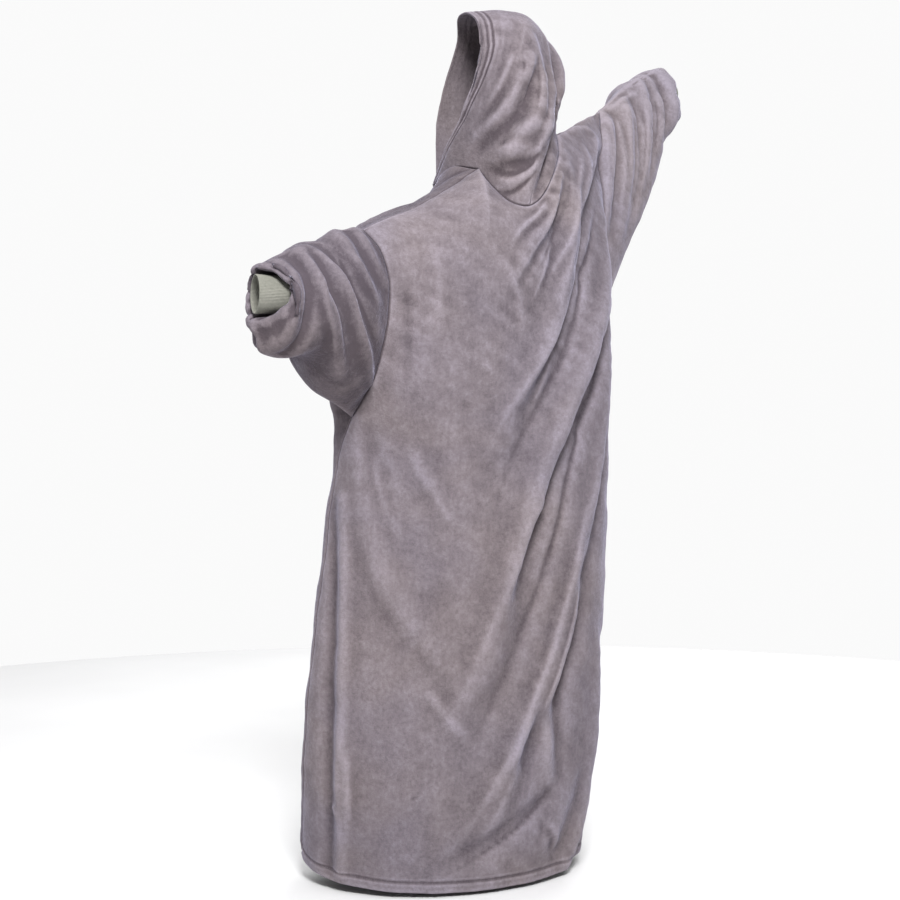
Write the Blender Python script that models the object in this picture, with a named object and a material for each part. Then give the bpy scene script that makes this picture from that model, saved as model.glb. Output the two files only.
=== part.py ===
"""Floor-length hooded quarter-zip pullover in thick plush fleece, kept in its hollow worn pose.

All lengths are metres. The tables give heights over the floor; the whole garment is then
moved down so that the origin lies inside the neck, where the garment rests when worn.
+Z is up, the front faces -Y and the wearer's left is +X.
"""
import math

import bmesh
import bpy
import numpy as np

# Height of the origin over the floor the back hem touches
NECK_HEIGHT = 1.40
# Thick brushed fleece, rib knit and the double layer of the hems
FLEECE = 0.0040
HEM_FLEECE = 0.0068
FACE_HEM = 0.0046
RIB_KNIT = 0.0032
CUFF_CLEARANCE = 0.0006
CUFF_INSET = 0.004
# Each piece stays this far back from a seam line
SEAM_SETBACK = 0.0005
# Columns across one shoulder seam and across half of the neckline
SHOULDER_COLUMNS = 7
NECK_COLUMNS = 8
# Share of the body height where each kind of row lies
YOKE_SHARE = 0.86
UNDERARM_SHARE = {"left": 0.62, "right": 0.76}
# Rows in each stretch of the body, from hem to shoulder
ROW_STRETCHES = ((0.0, 0.022, 2), (0.022, 0.62, 19), (0.62, 0.76, 6), (0.76, 0.86, 5), (0.86, 1.0, 6))
SLEEVE_ROWS = {"left": 17, "right": 17}
HOOD_ROWS = 12
# Direction the hood faces, turned from the front towards the wearer's left
HOOD_TURN = math.radians(66)
HOOD_CENTRE = (0.025, -0.018)
# Zip laid on the middle of the front
ZIP_LENGTH = 0.25
TAPE_WIDTH = 0.026
TAPE_LIFT = 0.0009
TAPE_THICKNESS = 0.0012
TEETH_WIDTH = 0.0064
TEETH_THICKNESS = 0.0018
TEETH_LIFT = TAPE_LIFT + TAPE_THICKNESS + 0.0005
SLIDER_DISTANCE = 0.018
SLIDER_LIFT = TEETH_LIFT + TEETH_THICKNESS + 0.0003
SLIDER_BODY = 0.0036
BRIDGE_RISE = 0.0030
PIN_UP = -0.0018
PIN_RADIUS = 0.0009
PULL_WIDTH = 0.0072
PULL_LENGTH = 0.034

# Side seams below the underarms: share of height, x, y, z
SIDE_SEAM = {
    "left": ((0.0, 0.356, -0.168, 0.054), (0.2, 0.384, -0.108, 0.300), (0.4, 0.366, -0.072, 0.600),
             (0.56, 0.347, -0.042, 0.830), (0.62, 0.345, 0.000, 0.900)),
    "right": ((0.0, -0.209, -0.037, 0.052), (0.1, -0.222, -0.022, 0.185), (0.2, -0.236, -0.013, 0.330),
              (0.4, -0.250, -0.004, 0.630), (0.56, -0.258, 0.000, 0.880), (0.66, -0.280, -0.010, 1.020),
              (0.76, -0.309, -0.028, 1.160)),
}
# Armhole seams from the underarm to the shoulder: share of height, x, y, z
ARMHOLE = {
    ("left", "back"): ((0.62, 0.345, 0.000, 0.900), (0.68, 0.336, 0.048, 0.955), (0.78, 0.326, 0.088, 1.060),
                       (0.88, 0.328, 0.098, 1.155), (0.95, 0.345, 0.088, 1.218), (1.0, 0.362, 0.066, 1.245)),
    ("left", "front"): ((0.62, 0.345, 0.000, 0.900), (0.68, 0.362, -0.040, 0.950), (0.78, 0.372, -0.065, 1.050),
                        (0.88, 0.370, -0.055, 1.145), (0.95, 0.366, -0.005, 1.215), (1.0, 0.362, 0.066, 1.245)),
    ("right", "back"): ((0.76, -0.309, -0.028, 1.160), (0.82, -0.288, -0.015, 1.250), (0.88, -0.273, -0.014, 1.350),
                        (0.94, -0.288, -0.036, 1.455), (1.0, -0.326, -0.089, 1.543)),
    ("right", "front"): ((0.76, -0.309, -0.028, 1.160), (0.82, -0.330, -0.085, 1.240), (0.88, -0.338, -0.120, 1.340),
                         (0.94, -0.335, -0.128, 1.450), (1.0, -0.326, -0.089, 1.543)),
}
# Fullness of the body: share of height, depth behind and before the side seams, how much the
# middle hangs below them behind and before, roundness of the section
BODY_FORM = (
    (0.0, 0.225, 0.130, -0.046, 0.040, 1.0),
    (0.1, 0.215, 0.128, -0.024, 0.020, 1.0),
    (0.2, 0.200, 0.125, -0.008, 0.0, 1.0),
    (0.4, 0.180, 0.120, 0.0, 0.0, 1.0),
    (0.56, 0.165, 0.120, 0.0, 0.0, 0.95),
    (0.66, 0.142, 0.105, 0.0, 0.0, 0.75),
    (0.76, 0.115, 0.085, 0.0, 0.0, 0.45),
    (0.86, 0.095, 0.062, 0.0, 0.0, 0.25),
)
# Shoulder seams from the armhole to the neck: share, x, y, z
SHOULDER_SEAM = {
    "right": ((0.0, -0.326, -0.089, 1.543), (0.5, -0.225, -0.030, 1.505), (1.0, -0.109, 0.040, 1.459)),
    "left": ((0.0, 0.362, 0.066, 1.245), (0.5, 0.205, 0.024, 1.305), (1.0, 0.066, 0.015, 1.380)),
}
# Neckline from the right shoulder seam to the left one: place, x, y, z
NECKLINE = {
    "back": ((-1.0, -0.109, 0.040, 1.459), (-0.75, -0.090, 0.070, 1.415), (-0.5, -0.058, 0.095, 1.372),
             (-0.28, -0.029, 0.106, 1.336), (0.0, 0.007, 0.106, 1.307), (0.28, 0.037, 0.092, 1.310),
             (0.55, 0.053, 0.070, 1.328), (0.78, 0.061, 0.044, 1.350), (1.0, 0.066, 0.015, 1.380)),
    "front": ((-1.0, -0.109, 0.040, 1.459), (-0.75, -0.104, -0.010, 1.452), (-0.45, -0.066, -0.075, 1.427),
              (-0.2, 0.000, -0.118, 1.387), (0.0, 0.062, -0.136, 1.363), (0.25, 0.080, -0.108, 1.368),
              (0.6, 0.080, -0.048, 1.389), (1.0, 0.066, 0.015, 1.380)),
}
NECK_PLACE = 0.36
# Places where a panel swings aside: face, middle and reach across, middle and reach of the
# height share, shift in x, y and z
SWAYS = (
    ("front", -0.64, 0.36, 0.0, 0.26, -0.070, 0.049, 0.045),
    ("front", 0.84, 0.16, 0.61, 0.09, 0.014, -0.010, 0.0),
)
# Sleeves from the shoulder to the gathered end: share of length, top x y z, bottom x y z,
# half width behind and before, heading of the arm in degrees from +X
SLEEVE_FORM = {
    "left": (
        (0.00, 0.363, 0.063, 1.244, 0.345, 0.000, 0.900, 0.085, 0.075, 16),
        (0.20, 0.420, 0.072, 1.239, 0.391, 0.032, 0.918, 0.085, 0.080, 16),
        (0.40, 0.470, 0.086, 1.214, 0.449, 0.062, 0.951, 0.082, 0.080, 14),
        (0.60, 0.516, 0.103, 1.204, 0.498, 0.099, 1.010, 0.077, 0.075, 10),
        (0.75, 0.548, 0.117, 1.196, 0.546, 0.117, 1.004, 0.072, 0.072, 2),
        (0.84, 0.577, 0.124, 1.184, 0.582, 0.120, 1.006, 0.070, 0.068, -6),
        (0.90, 0.601, 0.127, 1.172, 0.610, 0.119, 1.020, 0.067, 0.062, -13),
        (0.94, 0.606, 0.127, 1.171, 0.614, 0.122, 1.042, 0.060, 0.054, -15),
    ),
    "right": (
        (0.00, -0.326, -0.089, 1.543, -0.309, -0.028, 1.160, 0.060, 0.085, 197),
        (0.20, -0.383, -0.111, 1.579, -0.368, -0.060, 1.231, 0.050, 0.095, 197),
        (0.40, -0.438, -0.132, 1.616, -0.434, -0.087, 1.323, 0.042, 0.095, 198),
        (0.60, -0.499, -0.151, 1.645, -0.497, -0.116, 1.412, 0.036, 0.090, 198),
        (0.75, -0.538, -0.165, 1.664, -0.540, -0.146, 1.494, 0.044, 0.080, 199),
        (0.84, -0.562, -0.177, 1.671, -0.567, -0.163, 1.514, 0.057, 0.066, 200),
        (0.90, -0.576, -0.187, 1.675, -0.585, -0.175, 1.532, 0.061, 0.061, 200),
        (0.94, -0.584, -0.191, 1.676, -0.597, -0.182, 1.542, 0.060, 0.057, 200),
    ),
}
# Cuff tubes: centre of the start, centre of the end, radius
CUFF_FORM = {
    "left": ((0.5467, 0.1415, 1.1136), (0.617, 0.1225, 1.1150), 0.0347),
    "right": ((-0.560, -0.1786, 1.6054), (-0.615, -0.1990, 1.6290), 0.0342),
}
# How far the rim of each sleeve is pushed back behind, and how far its rolled rim stands out
RIM_PUSHED = {"left": 0.034, "right": 0.0}
RIM_ROLL = 0.009
# Hood from the face edge to the nape: share, centre seam forward, leftward and height, bulge of
# the left and right half, and how far each half is pushed forward
HOOD_FORM = (
    (0.00, 0.050, 0.000, 1.694, 0.160, 0.040, -0.043, -0.024),
    (0.15, 0.018, 0.000, 1.700, 0.130, 0.050, -0.058, -0.012),
    (0.35, -0.035, 0.000, 1.701, 0.093, 0.070, -0.046, 0.000),
    (0.55, -0.094, 0.000, 1.687, 0.063, 0.074, -0.036, -0.012),
    (0.72, -0.124, 0.006, 1.640, 0.036, 0.060, -0.030, -0.030),
    (0.86, -0.133, 0.020, 1.582, 0.028, 0.050, -0.026, -0.026),
    (0.94, -0.134, 0.029, 1.552, 0.024, 0.042, -0.023, -0.022),
    (1.00, -0.134, 0.036, 1.530, 0.000, 0.000, -0.020, -0.020),
)


def through(table, places):
    """Smooth values of a table at the places along its first column."""
    table = np.asarray(table, float)
    knots, values = table[:, 0], table[:, 1:]
    places = np.clip(np.asarray(places, float), knots[0], knots[-1])
    slopes = np.gradient(values, knots, axis=0)
    i = np.clip(np.searchsorted(knots, places, side="right") - 1, 0, len(knots) - 2)
    step = (knots[i + 1] - knots[i])[..., None]
    f = (places[..., None] - knots[i][..., None]) / step
    return ((2 * f**3 - 3 * f**2 + 1) * values[i] + (f**3 - 2 * f**2 + f) * step * slopes[i]
            + (3 * f**2 - 2 * f**3) * values[i + 1] + (f**3 - f**2) * step * slopes[i + 1])


def body_rows():
    """Shares of the body height at the mesh rows."""
    rows = [0.0]
    for start, end, count in ROW_STRETCHES:
        rows += list(start + (end - start) * np.arange(1, count + 1) / count)
    return np.array(rows)


def body_columns():
    """Places across a body panel, from the right seam to the left one."""
    shoulder = np.linspace(-1.0, -NECK_PLACE, SHOULDER_COLUMNS + 1)
    neck = np.linspace(-NECK_PLACE, 0.0, NECK_COLUMNS + 1)
    half = np.concatenate([shoulder, neck[1:]])
    return np.concatenate([half, -half[-2::-1]])


def panel_edge(side, face, rows):
    """Side seam and armhole edge of one body panel, a point for each row."""
    under = UNDERARM_SHARE[side]
    low = through(SIDE_SEAM[side], np.minimum(rows, under))
    high = through(ARMHOLE[side, face], np.maximum(rows, under))
    return np.where((rows <= under)[:, None], low, high)


def top_edge(face, columns):
    """Shoulder seams and neckline of one body panel, a point for each column."""
    neck = through(NECKLINE[face], columns / NECK_PLACE)
    share = (1 - np.abs(columns)) / (1 - NECK_PLACE)
    right, left = through(SHOULDER_SEAM["right"], share), through(SHOULDER_SEAM["left"], share)
    seam = np.where((columns < 0)[:, None], right, left)
    return np.where((np.abs(columns) <= NECK_PLACE + 1e-9)[:, None], neck, seam)


def body_sections(face, rows, columns):
    """Rounded cross sections of a body panel between its two edges."""
    right = panel_edge("right", face, rows)[:, None, :]
    left = panel_edge("left", face, rows)[:, None, :]
    form = through(BODY_FORM, rows)[:, None, :]
    behind, before, hang_behind, hang_before, roundness = np.moveaxis(form, -1, 0)
    s = columns[None, :]
    turned = (1 - roundness) * s + roundness * np.sin(s * math.pi / 2)
    points = (left + right) / 2 + (left - right) / 2 * turned[..., None]
    chord = (left - right)[..., :2]
    out = np.stack([-chord[..., 1], chord[..., 0], 0 * chord[..., 0]], -1)
    out = out / np.linalg.norm(out, axis=-1, keepdims=True)
    swell = np.cos(s * math.pi / 2)
    depth = behind if face == "back" else -before
    hang = hang_behind if face == "back" else hang_before
    points = points + out * (depth * swell)[..., None]
    points[..., 2] += hang * np.abs(swell) ** 0.35
    return points


def body_panel(face, rows, columns):
    """Outer surface of the back or the front, hem to shoulder seams and neckline."""
    points = body_sections(face, rows, columns)
    above = rows > YOKE_SHARE
    base = body_sections(face, np.array([YOKE_SHARE]), columns)[0]
    top = top_edge(face, columns)
    angle = (rows[above] - YOKE_SHARE) / (1 - YOKE_SHARE) * math.pi / 2
    flat = (1 - np.cos(angle))[:, None, None]
    rise = np.sin(angle)[:, None, None]
    weight = np.concatenate([flat, flat, rise], -1)
    arched = base[None] + (top - base)[None] * weight
    for side, column, reach in (("right", 0, -columns), ("left", -1, columns)):
        edge = panel_edge(side, face, rows[above])
        share = np.clip(reach, 0, 1) ** 3
        arched = arched + (edge - arched[:, column])[:, None, :] * share[None, :, None]
    points[above] = arched
    for swayed, place, reach, height, height_reach, *shift in SWAYS:
        if swayed == face:
            across = np.clip(1 - np.abs(columns - place) / reach, 0, 1)
            along = np.clip(1 - np.abs(rows - height) / height_reach, 0, 1)
            ease = (across**2 * (3 - 2 * across))[None, :] * (along**2 * (3 - 2 * along))[:, None]
            points = points + ease[..., None] * np.array(shift)
    return points


def armhole_ring(side, panels, rows):
    """Armhole edge as a ring: underarm, up the back, shoulder, down the front."""
    column = -1 if side == "left" else 0
    above = rows >= UNDERARM_SHARE[side] - 1e-9
    up = panels["back"][above, column]
    down = panels["front"][above, column][::-1]
    return np.concatenate([up, down[1:-1]])


def sleeve_surface(side, ring):
    """Outer surface of a sleeve from its armhole ring to the seam of the cuff."""
    shares = np.concatenate([np.linspace(0, 0.84, SLEEVE_ROWS[side] - 5), (0.89, 0.94, 1.0, 1.0, 1.0)])
    form = through(SLEEVE_FORM[side], shares)[:, None, :]
    top, bottom, behind, before = form[..., 0:3], form[..., 3:6], form[..., 6:7], form[..., 7:8]
    count = len(ring)
    around = 2 * math.pi * np.arange(count) / count
    up, out = -np.cos(around)[None, :, None], np.sin(around)[None, :, None]
    middle, tall = (top + bottom) / 2, (top - bottom) / 2
    turn = np.radians(form[:, 0, 8])
    level = np.stack([-np.sin(turn), np.cos(turn), 0 * turn], -1) * (1.0 if side == "left" else -1.0)
    width = np.where(out > 0, behind, before)
    full = (1 - 0.22 * up * (1 - shares[:, None, None]))
    points = middle + tall * up + level[:, None, :] * width * out * full
    fade = np.clip(1 - shares / 0.45, 0, 1)[:, None, None] ** 1.5
    points = points + (ring - points[0])[None] * fade
    start, axis, level, upright, radius = cuff_frame(side)
    circle = level * (np.sin(around) * (1 if side == "left" else -1))[:, None] - upright * np.cos(around)[:, None]
    ease = np.clip((shares - 0.72) / 0.22, 0, 1)[:, None, None] ** 0.8
    points = points - axis * (RIM_PUSHED[side] * ease * np.maximum(out, 0) ** 1.5)
    mouth = points[-4]
    inside = start + axis * ((mouth - start) @ axis)[:, None] + circle * (radius + 0.006)
    points[-3] = 0.55 * mouth + 0.45 * inside + axis * RIM_ROLL
    points[-2] = 0.1 * mouth + 0.9 * inside + axis * RIM_ROLL / 3
    points[-1] = start + axis * CUFF_INSET + circle * (cuff_radius(side, CUFF_INSET) + CUFF_CLEARANCE)
    return points, shares


def cuff_frame(side):
    """Start, axis, level and upright directions and radius of a cuff tube."""
    start, end, radius = CUFF_FORM[side]
    start, end = np.array(start), np.array(end)
    axis = (end - start) / np.linalg.norm(end - start)
    level = np.cross((0, 0, 1), axis)
    level = level / np.linalg.norm(level)
    return start, axis, level, np.cross(axis, level), radius


def cuff_radius(side, distance):
    """Radius of a cuff at a distance from its sewn end: a little narrower in the middle."""
    start, end, radius = CUFF_FORM[side]
    return radius * (1 - 0.05 * np.sin(distance / math.dist(start, end) * math.pi))


def cuff_surface(side, rows, columns):
    """Outer surface of a rib-knit cuff tube."""
    start, axis, level, upright, _ = cuff_frame(side)
    length = math.dist(*CUFF_FORM[side][:2])
    around = 2 * math.pi * np.arange(columns) / columns
    along = np.linspace(0, length, rows + 1)[:, None, None]
    circle = level * np.cos(around)[:, None] + upright * np.sin(around)[:, None]
    return start + axis * along + circle[None] * cuff_radius(side, along)


def hood_surface(side, panels, columns):
    """Outer surface of one hood half: rows rise from the neckline to the centre seam."""
    sign = 1 if side == "left" else -1
    middle = len(columns) // 2
    front = panels["front"][-1, middle:middle + sign * (NECK_COLUMNS + 1):sign]
    back = panels["back"][-1, middle:middle + sign * (NECK_COLUMNS + 1):sign]
    neck = np.concatenate([front, back[-2::-1]])
    share = np.linspace(0, 1, len(neck))
    forward = np.array((math.sin(HOOD_TURN), -math.cos(HOOD_TURN), 0))
    leftward = np.array((math.cos(HOOD_TURN), math.sin(HOOD_TURN), 0))
    form = through(HOOD_FORM, share)
    crown = np.array((*HOOD_CENTRE, 0)) + form[:, 0:1] * forward + form[:, 1:2] * leftward
    crown[:, 2] = form[:, 2]
    bulge = form[:, 3] if side == "left" else form[:, 4]
    push = form[:, 5] if side == "left" else form[:, 6]
    v = np.linspace(0, 1, HOOD_ROWS + 1)[:, None]
    flat, rise = 1 - np.cos(v * math.pi / 2), np.sin(v * math.pi / 2)
    settle = 0.5 * share[None, :, None] ** 4
    weight = np.stack([flat, flat, rise], -1) * (1 - settle) + v[..., None] * settle
    points = neck[None] + (crown - neck)[None] * weight
    swell = np.sin(v * math.pi)[..., None] ** 1.1
    late = np.sin(v**1.5 * math.pi)[..., None] ** 2.5
    lean = swell if side == "left" else late * (1 - 2 * settle) + swell * 2 * settle
    points = points + swell * sign * bulge[None, :, None] * leftward + lean * push[None, :, None] * forward
    return points


def face_normals(grid, wrap):
    """Area-weighted corner normals of a grid, before welding."""
    if wrap:
        grid = np.concatenate([grid, grid[:, :1]], 1)
    normal = np.cross(grid[1:, 1:] - grid[:-1, :-1], grid[1:, :-1] - grid[:-1, 1:])
    total = np.zeros_like(grid)
    for rows in (slice(0, -1), slice(1, None)):
        for columns in (slice(0, -1), slice(1, None)):
            total[rows, columns] += normal
    if wrap:
        total[:, 0] += total[:, -1]
        total = total[:, :-1]
    return total


def welded_normals(grids, wraps, flips):
    """Unit normals pointing out of the garment, shared where pieces meet."""
    names = list(grids)
    totals = [face_normals(grids[n], wraps[n]).reshape(-1, 3) * flips[n] for n in names]
    points = np.concatenate([grids[n].reshape(-1, 3) for n in names])
    totals = np.concatenate(totals)
    _, same = np.unique(np.round(points, 6), axis=0, return_inverse=True)
    same = same.reshape(-1)
    summed = np.stack([np.bincount(same, totals[:, k]) for k in range(3)], -1)[same]
    unit = summed / np.linalg.norm(summed, axis=-1, keepdims=True)
    sizes = np.cumsum([0] + [grids[n].shape[0] * grids[n].shape[1] for n in names])
    return {n: unit[a:b].reshape(grids[n].shape) for n, a, b in zip(names, sizes, sizes[1:])}


def on_grid(grid, across, along, wrap):
    """Points of a grid at shares across its columns and along its rows."""
    rows, columns = grid.shape[0] - 1, grid.shape[1] - (0 if wrap else 1)
    a = np.clip(np.asarray(along, float) * rows, 0, rows - 1e-6)
    c = np.asarray(across, float) * columns
    c = np.mod(c, columns) if wrap else np.clip(c, 0, columns - 1e-6)
    i, j = a.astype(int), c.astype(int)
    fi, fj = (a - i)[..., None], (c - j)[..., None]
    k = (j + 1) % grid.shape[1]
    return ((grid[i, j] * (1 - fj) + grid[i, k] * fj) * (1 - fi)
            + (grid[i + 1, j] * (1 - fj) + grid[i + 1, k] * fj) * fi)


# Folds: piece, three places (across, along) on it from start to end, half width, height at the
# start and at the end, and the share of the height sunk beside the fold (sign gives the side)
FOLDS = (
    # back, dragged down and inwards from the raised right shoulder
    ("back_panel", (0.06, 0.94), (0.43, 0.735), (0.57, 0.50), 0.026, 0.020, 0.010, 0.9),
    ("back_panel", (0.05, 0.83), (0.333, 0.553), (0.52, 0.355), 0.028, 0.022, 0.018, 0.8),
    ("back_panel", (0.50, 0.37), (0.56, 0.275), (0.70, 0.193), 0.030, 0.016, 0.004, 0.5),
    ("back_panel", (0.12, 0.60), (0.25, 0.34), (0.45, 0.18), 0.025, 0.010, 0.018, 0.8),
    ("back_panel", (0.43, 0.20), (0.483, 0.132), (0.544, 0.092), 0.025, 0.016, 0.006, 0.5),
    ("back_panel", (0.22, 0.33), (0.325, 0.235), (0.306, 0.145), 0.022, 0.008, 0.014, 0.7),
    ("back_panel", (0.306, 0.127), (0.47, 0.092), (0.722, 0.057), 0.020, -0.014, -0.004, 0.0),
    ("back_panel", (0.144, 0.26), (0.150, 0.140), (0.189, 0.030), 0.030, 0.014, 0.020, 0.9),
    ("back_panel", (0.211, 0.136), (0.256, 0.088), (0.330, 0.080), 0.028, 0.012, 0.006, 0.4),
    # back, left side
    ("back_panel", (0.95, 0.447), (0.898, 0.270), (0.878, 0.040), 0.018, 0.010, 0.015, -0.9),
    ("back_panel", (0.878, 0.43), (0.80, 0.335), (0.62, 0.25), 0.034, 0.012, 0.006, 0.0),
    ("back_panel", (0.93, 0.53), (0.865, 0.455), (0.806, 0.364), 0.022, -0.010, -0.003, 0.0),
    # back, short drags below the hood
    ("back_panel", (0.40, 0.925), (0.556, 0.851), (0.706, 0.776), 0.016, 0.007, 0.002, 0.5),
    ("back_panel", (0.383, 0.917), (0.461, 0.851), (0.556, 0.781), 0.015, 0.007, 0.002, 0.5),
    ("back_panel", (0.24, 0.92), (0.367, 0.803), (0.50, 0.732), 0.018, 0.009, 0.003, 0.5),
    # front, crest of the left shoulder
    ("front_panel", (0.82, 0.93), (0.90, 0.94), (0.99, 0.95), 0.038, 0.012, 0.026, 0.0),
    ("front_panel", (0.95, 0.66), (0.95, 0.60), (0.94, 0.53), 0.040, 0.014, 0.006, 0.0),
    # front, hanging folds
    ("front_panel", (0.30, 0.80), (0.27, 0.45), (0.22, 0.02), 0.030, 0.010, 0.022, 0.5),
    ("front_panel", (0.42, 0.68), (0.41, 0.38), (0.37, 0.02), 0.027, 0.006, 0.018, -0.5),
    ("front_panel", (0.55, 0.58), (0.56, 0.33), (0.61, 0.02), 0.030, 0.006, 0.020, 0.6),
    ("front_panel", (0.68, 0.76), (0.70, 0.45), (0.75, 0.02), 0.028, 0.008, 0.019, 0.4),
    ("front_panel", (0.83, 0.60), (0.83, 0.33), (0.85, 0.03), 0.026, 0.008, 0.014, 0.0),
    ("front_panel", (0.10, 0.90), (0.26, 0.80), (0.38, 0.66), 0.024, 0.014, 0.004, 0.6),
    ("front_panel", (0.97, 0.60), (0.82, 0.52), (0.66, 0.44), 0.022, 0.012, 0.003, 0.5),
    # left sleeve
    ("sleeve_left", (0.44, 0.59), (0.27, 0.545), (0.09, 0.35), 0.016, 0.010, 0.008, 0.6),
    ("sleeve_left", (0.44, 0.50), (0.25, 0.33), (0.09, 0.04), 0.018, 0.012, 0.012, 0.6),
    ("sleeve_left", (0.495, 0.20), (0.377, 0.208), (0.284, 0.104), 0.017, 0.009, 0.005, 0.6),
    ("sleeve_left", (0.495, 0.06), (0.407, 0.083), (0.338, 0.042), 0.015, 0.008, 0.004, 0.5),
    ("sleeve_left", (0.47, 0.66), (0.27, 0.650), (0.05, 0.67), 0.014, -0.014, -0.018, 0.0),
    ("sleeve_left", (0.55, 0.45), (0.72, 0.40), (0.90, 0.20), 0.020, 0.010, 0.012, -0.5),
    ("sleeve_left", (0.57, 0.22), (0.68, 0.16), (0.80, 0.08), 0.018, 0.009, 0.006, -0.5),
    ("sleeve_left", (0.56, 0.66), (0.75, 0.67), (0.92, 0.68), 0.014, -0.010, -0.012, 0.0),
    # right sleeve
    ("sleeve_right", (0.46, 0.06), (0.356, 0.07), (0.19, 0.01), 0.018, 0.014, 0.012, 0.6),
    ("sleeve_right", (0.42, 0.24), (0.33, 0.22), (0.15, 0.12), 0.018, 0.012, 0.010, 0.6),
    ("sleeve_right", (0.46, 0.42), (0.36, 0.40), (0.20, 0.26), 0.016, 0.009, 0.008, 0.5),
    ("sleeve_right", (0.58, 0.12), (0.72, 0.14), (0.86, 0.08), 0.020, 0.012, 0.010, 0.5),
    ("sleeve_right", (0.56, 0.38), (0.70, 0.40), (0.86, 0.30), 0.018, 0.010, 0.008, 0.5),
    ("sleeve_right", (0.50, 0.58), (0.35, 0.59), (0.12, 0.57), 0.014, -0.009, -0.008, 0.0),
    # hood, left half
    ("hood_left", (0.615, 0.56), (0.56, 0.28), (0.406, 0.125), 0.016, 0.010, 0.012, 0.5),
    ("hood_left", (0.667, 0.52), (0.670, 0.36), (0.635, 0.167), 0.014, -0.007, -0.010, 0.0),
    ("hood_left", (0.60, 0.68), (0.80, 0.50), (0.708, 0.167), 0.016, 0.007, 0.012, 0.5),
    ("hood_left", (0.635, 0.94), (0.82, 0.88), (0.93, 0.80), 0.014, 0.006, 0.004, 0.4),
    ("hood_left", (0.96, 0.56), (0.86, 0.40), (0.62, 0.20), 0.019, 0.008, 0.008, 0.0),
    ("hood_left", (0.95, 0.34), (0.88, 0.22), (0.68, 0.10), 0.013, -0.007, -0.008, 0.0),
    # hood, right half
    ("hood_right", (0.60, 0.60), (0.55, 0.32), (0.40, 0.14), 0.017, 0.009, 0.011, -0.5),
    ("hood_right", (0.76, 0.66), (0.78, 0.42), (0.66, 0.20), 0.016, 0.007, 0.010, -0.5),
    ("hood_right", (0.55, 0.76), (0.72, 0.68), (0.86, 0.62), 0.015, 0.006, 0.010, 0.0),
)


def fold_lift(points, normals, path, width, heights, lean):
    """Height a fold gives to every point near its path."""
    lift = np.zeros(len(points))
    near = np.linalg.norm(points - path[len(path) // 2], axis=1)
    reach = np.linalg.norm(path[-1] - path[0]) + 5 * width
    chosen = np.flatnonzero(near < reach)
    if not len(chosen):
        return lift
    gap = points[chosen, None, :] - path[None]
    far = np.linalg.norm(gap, axis=-1)
    nearest = far.argmin(1)
    tangent = np.gradient(path, axis=0)
    spacing = np.linalg.norm(tangent, axis=-1)
    tangent = (tangent / spacing[:, None])[nearest]
    gap = gap[np.arange(len(chosen)), nearest]
    along = np.einsum("ij,ij->i", gap, tangent)
    beyond = np.where(nearest == 0, np.minimum(along, 0), np.where(nearest == len(path) - 1,
                      np.maximum(along, 0), 0))
    gap = gap - tangent * (along - beyond)[:, None]
    side = np.cross(normals[chosen], tangent)
    d = np.linalg.norm(gap, axis=-1) / width
    signed = np.einsum("ij,ij->i", gap, side) / width
    share = np.clip((nearest + (along - beyond) / spacing[nearest]) / (len(path) - 1), 0, 1)
    height = heights[0] * (1 - share) + heights[1] * share
    ridge = np.exp(-d**2)
    sunk = abs(lean) * np.exp(-d**2 - 2.2 + 2.97 * np.sign(lean) * signed)
    lift[chosen] = height * (ridge - sunk)
    return lift


def lifted(grids, wraps, flips):
    """The smooth surfaces with the folds raised on them, alike on both sides of a seam."""
    normals = welded_normals(grids, wraps, flips)
    steps = np.linspace(0, 1, 25)[:, None]
    lifts = {name: np.zeros(grid.shape[0] * grid.shape[1]) for name, grid in grids.items()}
    for piece, *places, width, start, end, lean in FOLDS:
        a, b, c = (np.array(p) for p in places)
        route = a * (1 - steps) * (1 - 2 * steps) + b * 4 * steps * (1 - steps) + c * steps * (2 * steps - 1)
        path = on_grid(grids[piece], route[:, 0], route[:, 1], wraps[piece])
        for name, grid in grids.items():
            lifts[name] += fold_lift(grid.reshape(-1, 3), normals[name].reshape(-1, 3), path, width,
                                     (start, end), lean)
    for side in ("left", "right"):
        lifts["sleeve_" + side].reshape(grids["sleeve_" + side].shape[:2])[-3:] = 0
    return {name: grid + normals[name] * lifts[name].reshape(grid.shape[:2] + (1,))
            for name, grid in grids.items()}


def set_back(grid, wrap, distance):
    """Draw the border of a grid back from its seams, square to the seam line."""
    moved = grid.copy()
    turned = np.swapaxes(grid, 0, 1)
    borders = [(grid, moved, wrap)] + ([] if wrap else [(turned, np.swapaxes(moved, 0, 1), False)])
    for source, target, closed in borders:
        for edge, inner in ((0, 1), (-1, -2)):
            line = source[edge]
            if closed:
                along = np.roll(line, -1, axis=0) - np.roll(line, 1, axis=0)
            else:
                along = np.gradient(line, axis=0)
            along = along / np.linalg.norm(along, axis=-1, keepdims=True)
            step = source[inner] - line
            step = step - along * (step * along).sum(-1, keepdims=True)
            target[edge] += step / np.linalg.norm(step, axis=-1, keepdims=True) * distance
    return moved


def halves(points, a, b, c, d):
    """Two triangles for each four-cornered face, split along the shorter diagonal."""
    short = np.linalg.norm(points[a] - points[c], axis=1) <= np.linalg.norm(points[b] - points[d], axis=1)
    first = np.where(short[:, None], np.stack([a, b, c], -1), np.stack([a, b, d], -1))
    second = np.where(short[:, None], np.stack([a, c, d], -1), np.stack([b, c, d], -1))
    return np.concatenate([first, second])


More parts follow.
